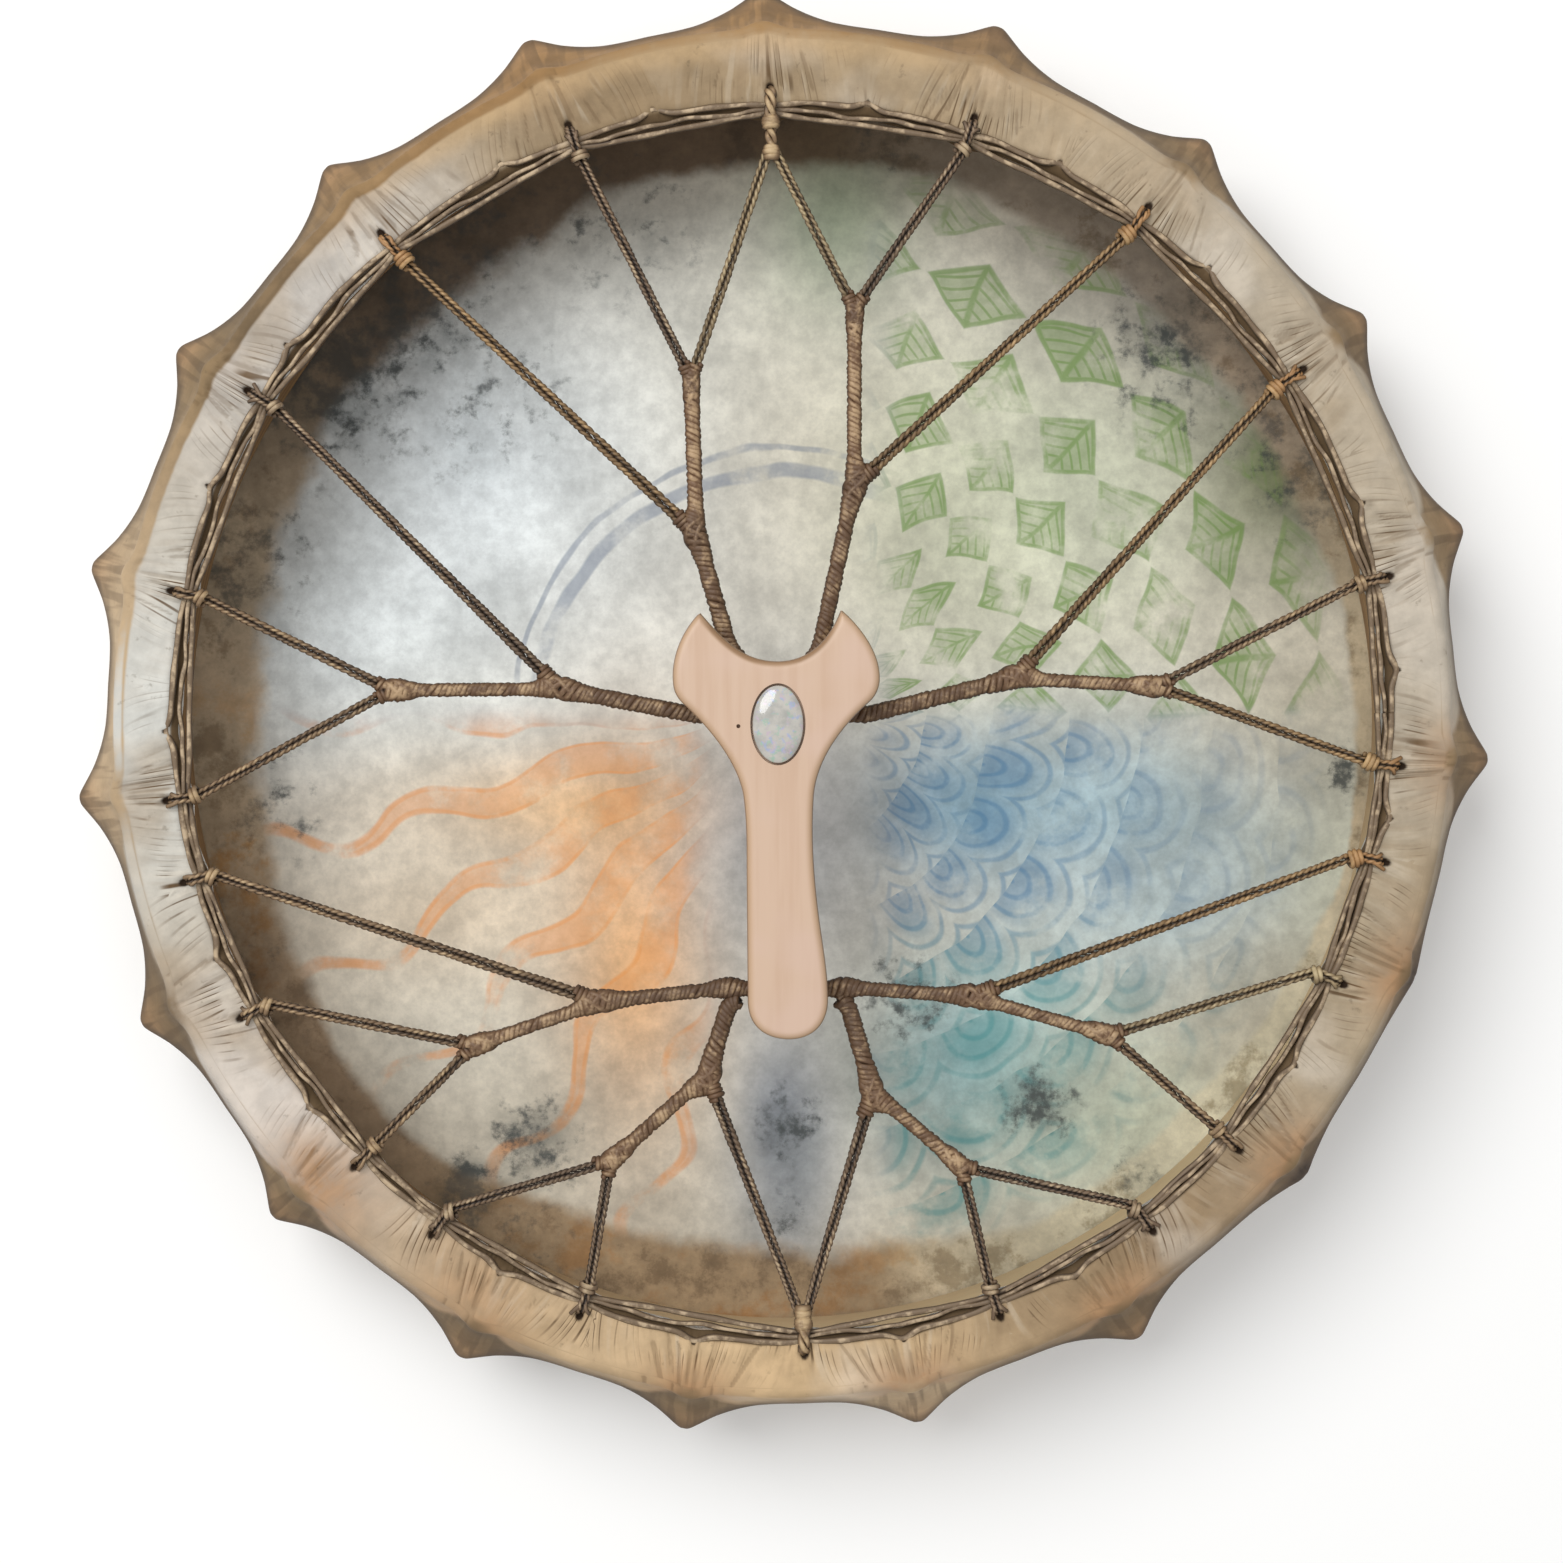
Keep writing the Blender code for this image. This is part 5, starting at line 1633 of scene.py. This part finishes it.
def bundle_mesh(index):
    """A bundle with its binding, its crossed knots and a sleeve for each of its three laces."""
    pair, first, third, second, _ = BUNDLES[index]
    first, second = web_point(*first), web_point(*second)
    path, places, first_at, second_at = bundle_path(index)
    width = bundle_profile(index, places, first_at, second_at)
    if index in (4, 5):
        width += 3.0 * MM * bump(places - second_at - meeting, 5.5 * MM)
    about_second = [second_at - 8 * MM, second_at, second_at + 9 * MM]
    height = width * np.interp(places, about_second, [0.95, 0.76, 0.9])
    # the wrap at the second joint leans towards its third lace
    towards = (rim_place(third, 0, 80) - second).normalized()
    path = path + np.outer(bump(places - (second_at - 1.5 * MM), 5 * MM) * 1.7 * MM, tuple(towards))
    strands = wrap_strands(path, places, width, height, 40 + index)
    strands += crossing_strands(path, places, width, height, first_at + 4 * MM, index)
    strands += crossing_strands(path, places, width, height, second_at, index + 10)
    sleeves = ((pair[0], first, 2.0, 6), (pair[1], first, 2.0, 6), (third, second, 2.5, 10))
    for angle_deg, joint, reach, length in sleeves:
        side = (rim_place(angle_deg, -16, 81) - joint).normalized()
        start, end = joint + side * MM, joint + side * length * MM
        strands.append(collar(start, end, length / 1.9, reach * MM, 1.0 * MM))
    # the knots are rubbed; the trunk darkens towards the handle, partly its own tone and partly painted
    # shadow of the handle
    joints = np.maximum(bump(places - first_at - 3 * MM, 9 * MM), bump(places - second_at, 11 * MM))
    worn = 0.95 - 0.7 * joints if index < 2 else 0.45 + 0.25 * joints
    worn = worn * np.interp(places, [second_at, second_at + 16 * MM], [1.0, 0.35])
    return cord_mesh(f"bundle_{index + 1}_wrap", strands, path, width / 2 + 0.15 * MM, worn)


bundle_meshes = {f"bundle_{index + 1}": bundle_mesh(index) for index in range(len(BUNDLES))}
print(len(bundle_meshes), "bundles,", sum(len(mesh.polygons) for mesh in bundle_meshes.values()), "faces")

# %% Bindings under the handle
coil_turns = 9
coil_inset = 1.5 * MM  # the cord's middle lies this far inside the binding's box


def coil_mesh(name, centre_mm, radius, low, high):
    """A flat coil of cord, wound up in three layers round a core."""
    share = np.linspace(0, 1, 420)
    turn = share * math.tau * coil_turns
    reach = radius - coil_inset - 4.5 * MM * np.abs(np.sin(share * math.tau * 1.5))
    centre = web_point(*centre_mm)
    heights = low + coil_inset + (high - low - 2 * coil_inset) * share
    points = np.stack([centre.x + reach * np.cos(turn), centre.y + reach * np.sin(turn), heights], axis=1)
    core = np.array([(centre.x, centre.y, low + coil_inset), (centre.x, centre.y, high - coil_inset)])
    return cord_mesh(name, [(points, 1.4 * MM), (core, 4.5 * MM)], core, radius)


binding_meshes = {}
for name, knot, radius in (("head_binding", HEAD_KNOT, 11 * MM), ("stem_binding", STEM_KNOT, 9 * MM)):
    low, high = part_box(name)
    binding_meshes[name] = coil_mesh(name + "_coil", knot, radius, low.z, high.z)
print("bindings:", sorted(binding_meshes))

# %% [markdown]
# ## Finishes of the cords
#
# All the cords are sinew and rawhide lace, with painted shade in the grooves and along the sides and
# a painted highlight on top, partly rubbed wear. One node group mixes the colours from the stored values
# and from noise, and each finish gives it colours of its own. A lace is lightest where it is worn, near
# the rim, and a few have turned golden brown there, round their knots.

# %% Group: sinew
def make_sinew_group():
    """Mixes a cord's colours: painted shade in the grooves and at the sides, and a painted highlight on
    top, in blotches that grow where the cord is rubbed.
    """
    inputs = {"Groove": "Float", "Dark": "Color", "Body": "Color", "Pale": "Color", "Golden": "Float"}
    group, given, outputs = new_group("sinew_colours", inputs, {"Color": "Color", "Fibre": "Float"})
    place = place_of(group)
    blotch = noise(group, place, 210.0, 3.0, 0.6)
    fibre = noise(group, place, 900.0, 3.0, 0.6)
    raised = plus(group, given["Groove"], times(group, minus(group, fibre, 0.5), 0.5))
    crest = stored(group, "crest")
    worn = stored(group, "worn")
    blotched = fade(group, plus(group, blotch, times(group, worn, 0.14)), 0.44, 0.66)
    colour = lay_over(
        group, given["Body"],
        (given["Dark"], fade(group, worn, 0.0, 0.9, 0.45, 0.0)),
        # painted highlight on the tops, in blotches, more where the cord is worn
        (given["Pale"], fade(group, raised, 0.55, 1.0), fade(group, crest, 0.5, 0.9), blotched),
        (tint(172, 120, 70), fade(group, worn, 0.84, 0.93), given["Golden"]),
    )
    # painted shade in the grooves and on the sides that face away from above
    sunk = calc(group, "MINIMUM", fade(group, raised, 0.10, 0.60), fade(group, crest, -0.05, 0.60))
    group.links.new(mix(group, sunk, given["Dark"], colour), outputs["Color"])
    group.links.new(fibre, outputs["Fibre"])
    return group


sinew_group = make_sinew_group()
print("sinew group:", len(sinew_group.nodes), "nodes")

# %% Finishes: laces, rim lacing and bundles
def make_cord_finish(name, dark, body, pale, low, high, golden=0.0):
    """low and high are the shares of a cord's reach that count as groove and as surface."""
    finish, tree, shader = new_finish(name, 0.55)
    reach = {"Value": stored(tree, "groove"), "From Min": low, "From Max": high}
    groove = add_node(tree, "ShaderNodeMapRange", reach).outputs["Result"]
    given = {"Groove": groove, "Golden": golden}
    given |= {"Dark": tint(*dark), "Body": tint(*body), "Pale": tint(*pale)}
    cord = place_group(tree, sinew_group, given)
    give_colour(tree, shader, cord["Color"])
    add_relief(tree, shader, cord["Fibre"], 0.0004, 0.5)
    return finish


LACE_SHADES = {
    "dark": ((46, 34, 24), (112, 90, 68), (182, 160, 128)),
    "brown": ((58, 43, 29), (128, 103, 75), (184, 158, 120)),
    "gold": ((62, 46, 28), (134, 106, 70), (182, 150, 106)),
    "olive": ((66, 52, 34), (142, 122, 90), (190, 172, 134)),
}
lace_finishes = {}
for kind, shades in LACE_SHADES.items():
    golden = 0.45 if kind == "gold" else 0.0
    lace_finishes[kind] = make_cord_finish("sinew_" + kind, *shades, 0.36, 0.76, golden)
rim_finish = make_cord_finish("rim_strand", (66, 50, 36), (138, 116, 90), (180, 158, 128), 0.3, 0.9)
bundle_finish = make_cord_finish("sinew_wrap", (50, 34, 22), (106, 78, 54), (172, 144, 110), 0.50, 0.98)
print(len(lace_finishes) + 2, "finishes for cords")

# %% Dressing the cords
def lace_kind(number):
    """Which of the four lace finishes a lace has."""
    kinds = {"gold": GOLD_LACES, "dark": DARK_LACES, "olive": OLIVE_LACES}
    return next((kind for kind, numbers in kinds.items() if number in numbers), "brown")


place_piece("rim_strands", lacing_mesh, [rim_finish], "rim_cord", "rim_lacing")
for number, mesh in lace_meshes.items():
    place_piece(mesh.name, mesh, [lace_finishes[lace_kind(number)]], "sinew", f"spoke_{number:02d}")
for name, mesh in loop_meshes.items():
    place_piece(mesh.name, mesh, [lace_finishes["brown"]], "sinew", name)
for name, mesh in (bundle_meshes | binding_meshes).items():
    place_piece(mesh.name, mesh, [bundle_finish], "sinew", name)
print("cords dressed")

# %% [markdown]
# ## The handle
#
# The grip is one piece of peeled wood, sawn to a forked outline and rounded over by hand. Its outline
# is a chain of Bezier curves in millimetres. It is extruded, remeshed into small even squares, and each
# point is then drawn on to the rounded form: the form's surface lies everywhere at one edge radius from
# a slab that is smaller all round by that radius. A bevel would fail at the horns, where the outline
# turns sharply, and this doesn't.

# %% The handle's outline
# each row starts a Bezier curve in millimetres: its first point and its two handles
HANDLE_OUTLINE = [
    ((-30.2, 37.0), (-38.0, 29.0), (-41.0, 18.8)),
    ((-40.0, 10.4), (-39.6, 7.0), (-37.8, 4.6)),
    ((-35.4, 2.6), (-25.8, -6.4), (-16.4, -18.4)),
    ((-14.2, -30.0), (-12.9, -40.0), (-13.0, -48.0)),
    ((-13.0, -58.0), (-12.8, -76.0), (-12.7, -92.0)),
    ((-12.6, -106.5), (-12.0, -116.5), (-4.5, -119.8)),
    ((2.7, -119.8), (9.5, -119.8), (16.4, -116.0)),
    ((16.9, -106.0), (17.0, -98.0), (15.8, -90.0)),
    ((14.6, -82.0), (12.2, -66.0), (10.4, -48.0)),
    ((11.7, -30.0), (12.9, -17.0), (21.8, -5.0)),
    ((32.0, 4.0), (34.2, 6.0), (35.6, 8.6)),
    ((35.9, 12.0), (36.4, 21.8), (29.2, 31.6)),
    ((21.7, 38.0), (17.2, 26.4), (9.6, 19.1)),
    ((-1.5, 19.0), (-13.6, 19.1), (-20.2, 25.4)),
]
edge_radius = 2.8 * MM
handle_middle = (handle_low.z + handle_high.z) / 2
handle_half = (handle_high.z - handle_low.z) / 2
pin_place = Vector((-16.0, -4.8 + lacing_shift / MM)) * MM
print("the handle's outline has", len(HANDLE_OUTLINE), "curves")

# %% Points of the outline
def handle_outline(points_each):
    """The outline as a closed row of points."""
    corners = []
    for (start, first, second), (end, *_) in zip(HANDLE_OUTLINE, HANDLE_OUTLINE[1:] + HANDLE_OUTLINE[:1]):
        curve = [Vector((x * MM, y * MM + lacing_shift, 0.0)) for x, y in (start, first, second, end)]
        corners += interpolate_bezier(*curve, points_each + 1)[:-1]
    return corners


def nearest_on_outline(points, outline):
    """For each point, the nearest point of the closed outline, and whether the point is inside it."""
    start = outline
    end = np.roll(outline, -1, axis=0)
    run = end - start
    from_start = points[:, None, :] - start[None, :, :]
    share = np.clip(np.sum(from_start * run, axis=2) / np.sum(run * run, axis=1), 0, 1)
    foot = start + run * share[..., None]
    far = np.sum((points[:, None, :] - foot) ** 2, axis=2)
    best = np.argmin(far, axis=1)
    nearest = foot[np.arange(len(points)), best]
    crosses = (start[:, 1] > points[:, None, 1]) != (end[:, 1] > points[:, None, 1])
    with np.errstate(divide="ignore", invalid="ignore"):
        at = start[:, 0] + (points[:, None, 1] - start[:, 1]) * run[:, 0] / run[:, 1]
    inside = np.sum(crosses & (points[:, None, 0] < at), axis=1) % 2 == 1
    return nearest, inside


print("a coarse outline has", len(handle_outline(10)), "points")

# %% Shaping the handle
def handle_blank():
    """The outline extruded to its thickness and remeshed into small even faces."""
    bm = bmesh.new()
    face = bm.faces.new([bm.verts.new(point) for point in handle_outline(10)])
    walls = bmesh.ops.extrude_face_region(bm, geom=[face])["geom"]
    top = [item for item in walls if isinstance(item, bmesh.types.BMVert)]
    bmesh.ops.translate(bm, verts=bm.verts, vec=(0, 0, handle_middle - handle_half))
    bmesh.ops.translate(bm, verts=top, vec=(0, 0, 2 * handle_half))
    bmesh.ops.recalc_face_normals(bm, faces=bm.faces)
    blank = put_in_scene("handle_blank", mesh_of(bm, "handle_blank"))
    remesh = blank.modifiers.new("Even faces", "REMESH")
    remesh.mode = "VOXEL"
    remesh.voxel_size = 0.9 * MM
    return blank


def applied(obj):
    """The mesh that an object's modifiers make; the object itself is removed."""
    bpy.context.view_layer.update()
    mesh = bpy.data.meshes.new_from_object(obj.evaluated_get(bpy.context.evaluated_depsgraph_get()))
    bpy.data.objects.remove(obj)
    return mesh


def round_over(co, outline):
    """Draws each point on to the rounded form."""
    nearest, inside = nearest_on_outline(co[:, :2], outline)
    outward = nearest - co[:, :2]
    depth = np.linalg.norm(outward, axis=1)
    outward /= np.maximum(depth, 1e-9)[:, None]
    outward[~inside] *= -1
    depth = np.where(inside, depth, -depth)
    short = np.clip(edge_radius - depth, 0, None)
    up = co[:, 2] - handle_middle
    over = np.clip(np.abs(up) - (handle_half - edge_radius), 0, None)
    reach = np.maximum(np.hypot(short, over), 1e-9)
    placed = co.copy()
    placed[:, :2] += outward * (short * edge_radius / reach - short)[:, None]
    flat = np.minimum(np.abs(up), handle_half - edge_radius)
    placed[:, 2] = handle_middle + np.sign(up) * (flat + over * edge_radius / reach)
    return placed


print(f"the handle's edges are rounded to {edge_radius / MM:.1f} mm")

# %% Cutting the seat and the pinhole
def cut_with(obj, cutter_mesh):
    """Cuts a mesh out of an object; returns the cutter, which is needed until the cut is applied."""
    cutter = put_in_scene("cutter", cutter_mesh)
    cut = obj.modifiers.new("Cut", "BOOLEAN")
    cut.operation = "DIFFERENCE"
    cut.solver = "EXACT"
    cut.object = cutter
    return cutter


def post(centre, half_width, half_length, low, high, segments):
    """An upright post with an oval section."""
    bm = bmesh.new()
    bmesh.ops.create_cone(bm, cap_ends=True, segments=segments, radius1=1.0, radius2=1.0, depth=high - low)
    bmesh.ops.scale(bm, verts=bm.verts, vec=(half_width, half_length, 1.0))
    bmesh.ops.translate(bm, verts=bm.verts, vec=(centre[0], centre[1], (low + high) / 2))
    return mesh_of(bm, "post")


stone_centre = (stone_low + stone_high) / 2
stone_half_width = (stone_high.x - stone_low.x) / 2
stone_half_length = (stone_high.y - stone_low.y) / 2
groove_width = 0.8 * MM
pin_radius = 0.75 * MM
edge_darkening = 4.0 * MM  # how far in from the outline the wood is darkened


def make_handle():
    mesh = applied(handle_blank())
    outline = np.array([tuple(point)[:2] for point in handle_outline(16)])
    move_points(mesh, round_over(coordinates(mesh), outline))
    handle = put_in_scene("handle_wood", mesh)
    seat = post(stone_centre, stone_half_width + groove_width, stone_half_length + groove_width,
                stone_low.z - 0.3 * MM, handle_high.z + 5 * MM, 96)
    pinhole = post(pin_place, pin_radius, pin_radius, handle_high.z - 3 * MM, handle_high.z + 2 * MM, 24)
    cutters = [cut_with(handle, seat), cut_with(handle, pinhole)]
    mesh = applied(handle)
    for cutter in cutters:
        bpy.data.objects.remove(cutter)
    co = coordinates(mesh)
    nearest, _ = nearest_on_outline(co[:, :2], outline)
    depth = np.linalg.norm(nearest - co[:, :2], axis=1)
    # painted shade along the inner edge of the fork, between the horns
    fork_edge_shade = np.clip((co[:, 1] - 18 * MM) / (4 * MM), 0, 1)
    fork_edge_shade = fork_edge_shade * np.clip((27 * MM - np.abs(co[:, 0] + 5 * MM)) / (6 * MM), 0, 1)
    store(mesh, {"edge": np.clip(1.0 - depth / edge_darkening, 0, 1), "fork_edge_shade": fork_edge_shade})
    return mesh


handle_mesh = make_handle()
handle_mesh.shade_smooth()
handle_mesh.set_sharp_from_angle(angle=math.radians(40))
print("handle:", len(handle_mesh.polygons), "faces")

# %% [markdown]
# ## The stone
#
# An oval cabochon is a low dome on a short straight girdle. Its profile is spun and then stretched to
# an oval. It sits in the cut seat with a narrow groove round it.

# %% The stone
dome_steps = 14


def make_stone():
    dome = handle_high.z + 0.2 * MM
    rise = stone_high.z - dome
    profile = [(0.0, stone_low.z), (0.94, stone_low.z), (1.0, stone_low.z + 0.5 * MM), (1.0, dome)]
    for step in range(1, dome_steps):
        lean = math.pi / 2 * step / dome_steps
        profile.append((math.cos(lean), dome + rise * math.sin(lean)))
    profile.append((0.0, stone_high.z))
    bm = spin_profile(profile, peg_count * 4)
    bmesh.ops.scale(bm, verts=bm.verts, vec=(stone_half_width, stone_half_length, 1.0))
    bmesh.ops.translate(bm, verts=bm.verts, vec=(stone_centre.x, stone_centre.y, 0))
    bmesh.ops.recalc_face_normals(bm, faces=bm.faces)
    return mesh_of(bm, "stone_dome")


stone_mesh = make_stone()
stone_mesh.shade_smooth()
print("stone:", len(stone_mesh.polygons), "faces")

# %% [markdown]
# ## The hoop and the pegs
#
# The hoop is a plank of wood bent round, so its grain runs round the drum. It is spun with rounded
# edges. The pegs are hidden under the skin, so they stay as the model has them and only get the wood's
# finish.

# %% The hoop
hoop_outer = shell_radius - 2.6 * MM
hoop_inner = hoop_outer - 8 * MM
outer_turn = 3 * MM  # radius of the rounded edges outside
inner_turn = outer_turn * 0.7


def make_hoop():
    low, high = hoop_low.z, hoop_high.z
    profile = arc((hoop_outer - outer_turn, low + outer_turn), outer_turn, -90, 0, 5)
    profile += arc((hoop_outer - outer_turn, high - outer_turn), outer_turn, 0, 90, 5)
    profile += arc((hoop_inner + inner_turn, high - inner_turn), inner_turn, 90, 180, 4)
    profile += [(hoop_inner, z * MM) for z in (60, 40, 20)]
    profile += arc((hoop_inner + inner_turn, low + inner_turn), inner_turn, 180, 270, 4)
    bm = spin_profile([*profile, profile[0]], peg_count * 12)
    bmesh.ops.recalc_face_normals(bm, faces=bm.faces)
    mesh = mesh_of(bm, "hoop_wood")
    co = coordinates(mesh)
    co[:, :2] *= egg(np.arctan2(co[:, 1], co[:, 0]))[:, None]
    move_points(mesh, co)
    return mesh


hoop_mesh = make_hoop()
hoop_mesh.shade_smooth()
print("hoop:", len(hoop_mesh.polygons), "faces")

# %% [markdown]
# ## Finishes of the wood and the stone
#
# Peeled wood is pale and close-grained, a little darker towards its edges, with a thin line of painted
# shade at the outline and painted shade along the fork's inner edge. The hoop is brown, with long grain
# that runs round it, and is painted lighter between the stem and the right, where its inside faces the
# lamp. The stone is milky, with soft flecks of green, blue and lilac that change over its dome.

# %% Finish: peeled wood
def make_peeled_wood():
    finish, tree, shader = new_finish("peeled_wood", 0.42)
    place = place_of(tree)
    grain = noise(tree, place, 1.0, 3.0, 0.5, stretch=(240.0, 14.0, 240.0))
    cloud = noise(tree, place, 30.0, 2.0)
    edge = stored(tree, "edge")
    colour = lay_over(
        tree, tint(198, 170, 147),
        (tint(192, 162, 138), fade(tree, grain, 0.35, 0.68)),
        (tint(200, 172, 154), fade(tree, cloud, 0.45, 0.65, 0.0, 0.6)),
        (tint(182, 150, 118), fade(tree, edge, 0.20, 0.85, 0.0, 0.8)),
        # painted shade along the fork's inner edge
        (tint(146, 114, 84), fade(tree, edge, 0.30, 0.70), stored(tree, "fork_edge_shade")),
        # painted shade: a thin dark line at the outline, where the edge turns down
        (tint(132, 104, 82), fade(tree, edge, 0.86, 0.98)),
    )
    give_colour(tree, shader, colour)
    add_relief(tree, shader, grain, 0.0003, 0.25)
    return finish


peeled_wood = make_peeled_wood()
print("peeled wood:", len(peeled_wood.node_tree.nodes), "nodes")

# %% Finish: bent wood
def make_bent_wood():
    finish, tree, shader = new_finish("bent_wood", 0.6)
    place = place_of(tree)
    axes = axes_of(tree, place)
    round_about = calc(tree, "ARCTAN2", axes["Y"], axes["X"])
    length = times(tree, calc(tree, "SINE", times(tree, round_about, 0.5)), 1.5)
    unrolled = {"X": length, "Y": times(tree, axes["Z"], 90.0)}
    grain = noise(tree, add_node(tree, "ShaderNodeCombineXYZ", unrolled).outputs[0], 6.0, 5.0, 0.6)
    # painted light: the hoop is paler between the stem and the right, where its inside faces the lamp
    lamp_side_light = minus(tree, times(tree, axes["X"], 0.5), times(tree, axes["Y"], 0.87))
    colour = lay_over(
        tree, tint(122, 92, 60),
        (tint(158, 124, 84), fade(tree, grain, 0.35, 0.65)),
        (tint(206, 184, 146), fade(tree, lamp_side_light, 0.08, 0.20, 0.0, 0.8)),
    )
    give_colour(tree, shader, colour)
    return finish


bent_wood = make_bent_wood()
print("bent wood:", len(bent_wood.node_tree.nodes), "nodes")

# %% Finish: the cabochon
def make_cabochon():
    finish, tree, shader = new_finish("cabochon", 0.12)
    place = place_of(tree)
    shader.inputs["Coat Weight"].default_value = 0.6
    shader.inputs["Coat Roughness"].default_value = 0.05
    milk = noise(tree, place, 160.0, 4.0, 0.6)
    fleck = noise(tree, place, 420.0, 3.0, 0.6)
    hue = noise(tree, place, 260.0, 1.0)
    shimmer = lay_over(
        tree, tint(140, 176, 156),
        (tint(150, 162, 196), fade(tree, hue, 0.42, 0.50)),
        (tint(186, 164, 180), fade(tree, hue, 0.52, 0.60)),
    )
    colour = lay_over(
        tree, tint(158, 157, 151),
        (tint(184, 180, 172), fade(tree, milk, 0.35, 0.65)),
        (shimmer, fade(tree, fleck, 0.50, 0.64, 0.0, 0.7)),
    )
    give_colour(tree, shader, colour)
    return finish


cabochon = make_cabochon()
print("cabochon:", len(cabochon.node_tree.nodes), "nodes")

# %% Dressing the rest
place_piece("handle_wood", handle_mesh, [peeled_wood], "peeled_wood", "handle")
place_piece("stone_dome", stone_mesh, [cabochon], "cabochon", "stone")
place_piece("hoop_wood", hoop_mesh, [bent_wood], "bent_wood", "hoop")
for name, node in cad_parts.items():
    if name.startswith("peg_"):
        node.data.materials.clear()
        node.data.materials.append(bent_wood)
print("wood and stone dressed")

# %% Finish
print("the drum is dressed")
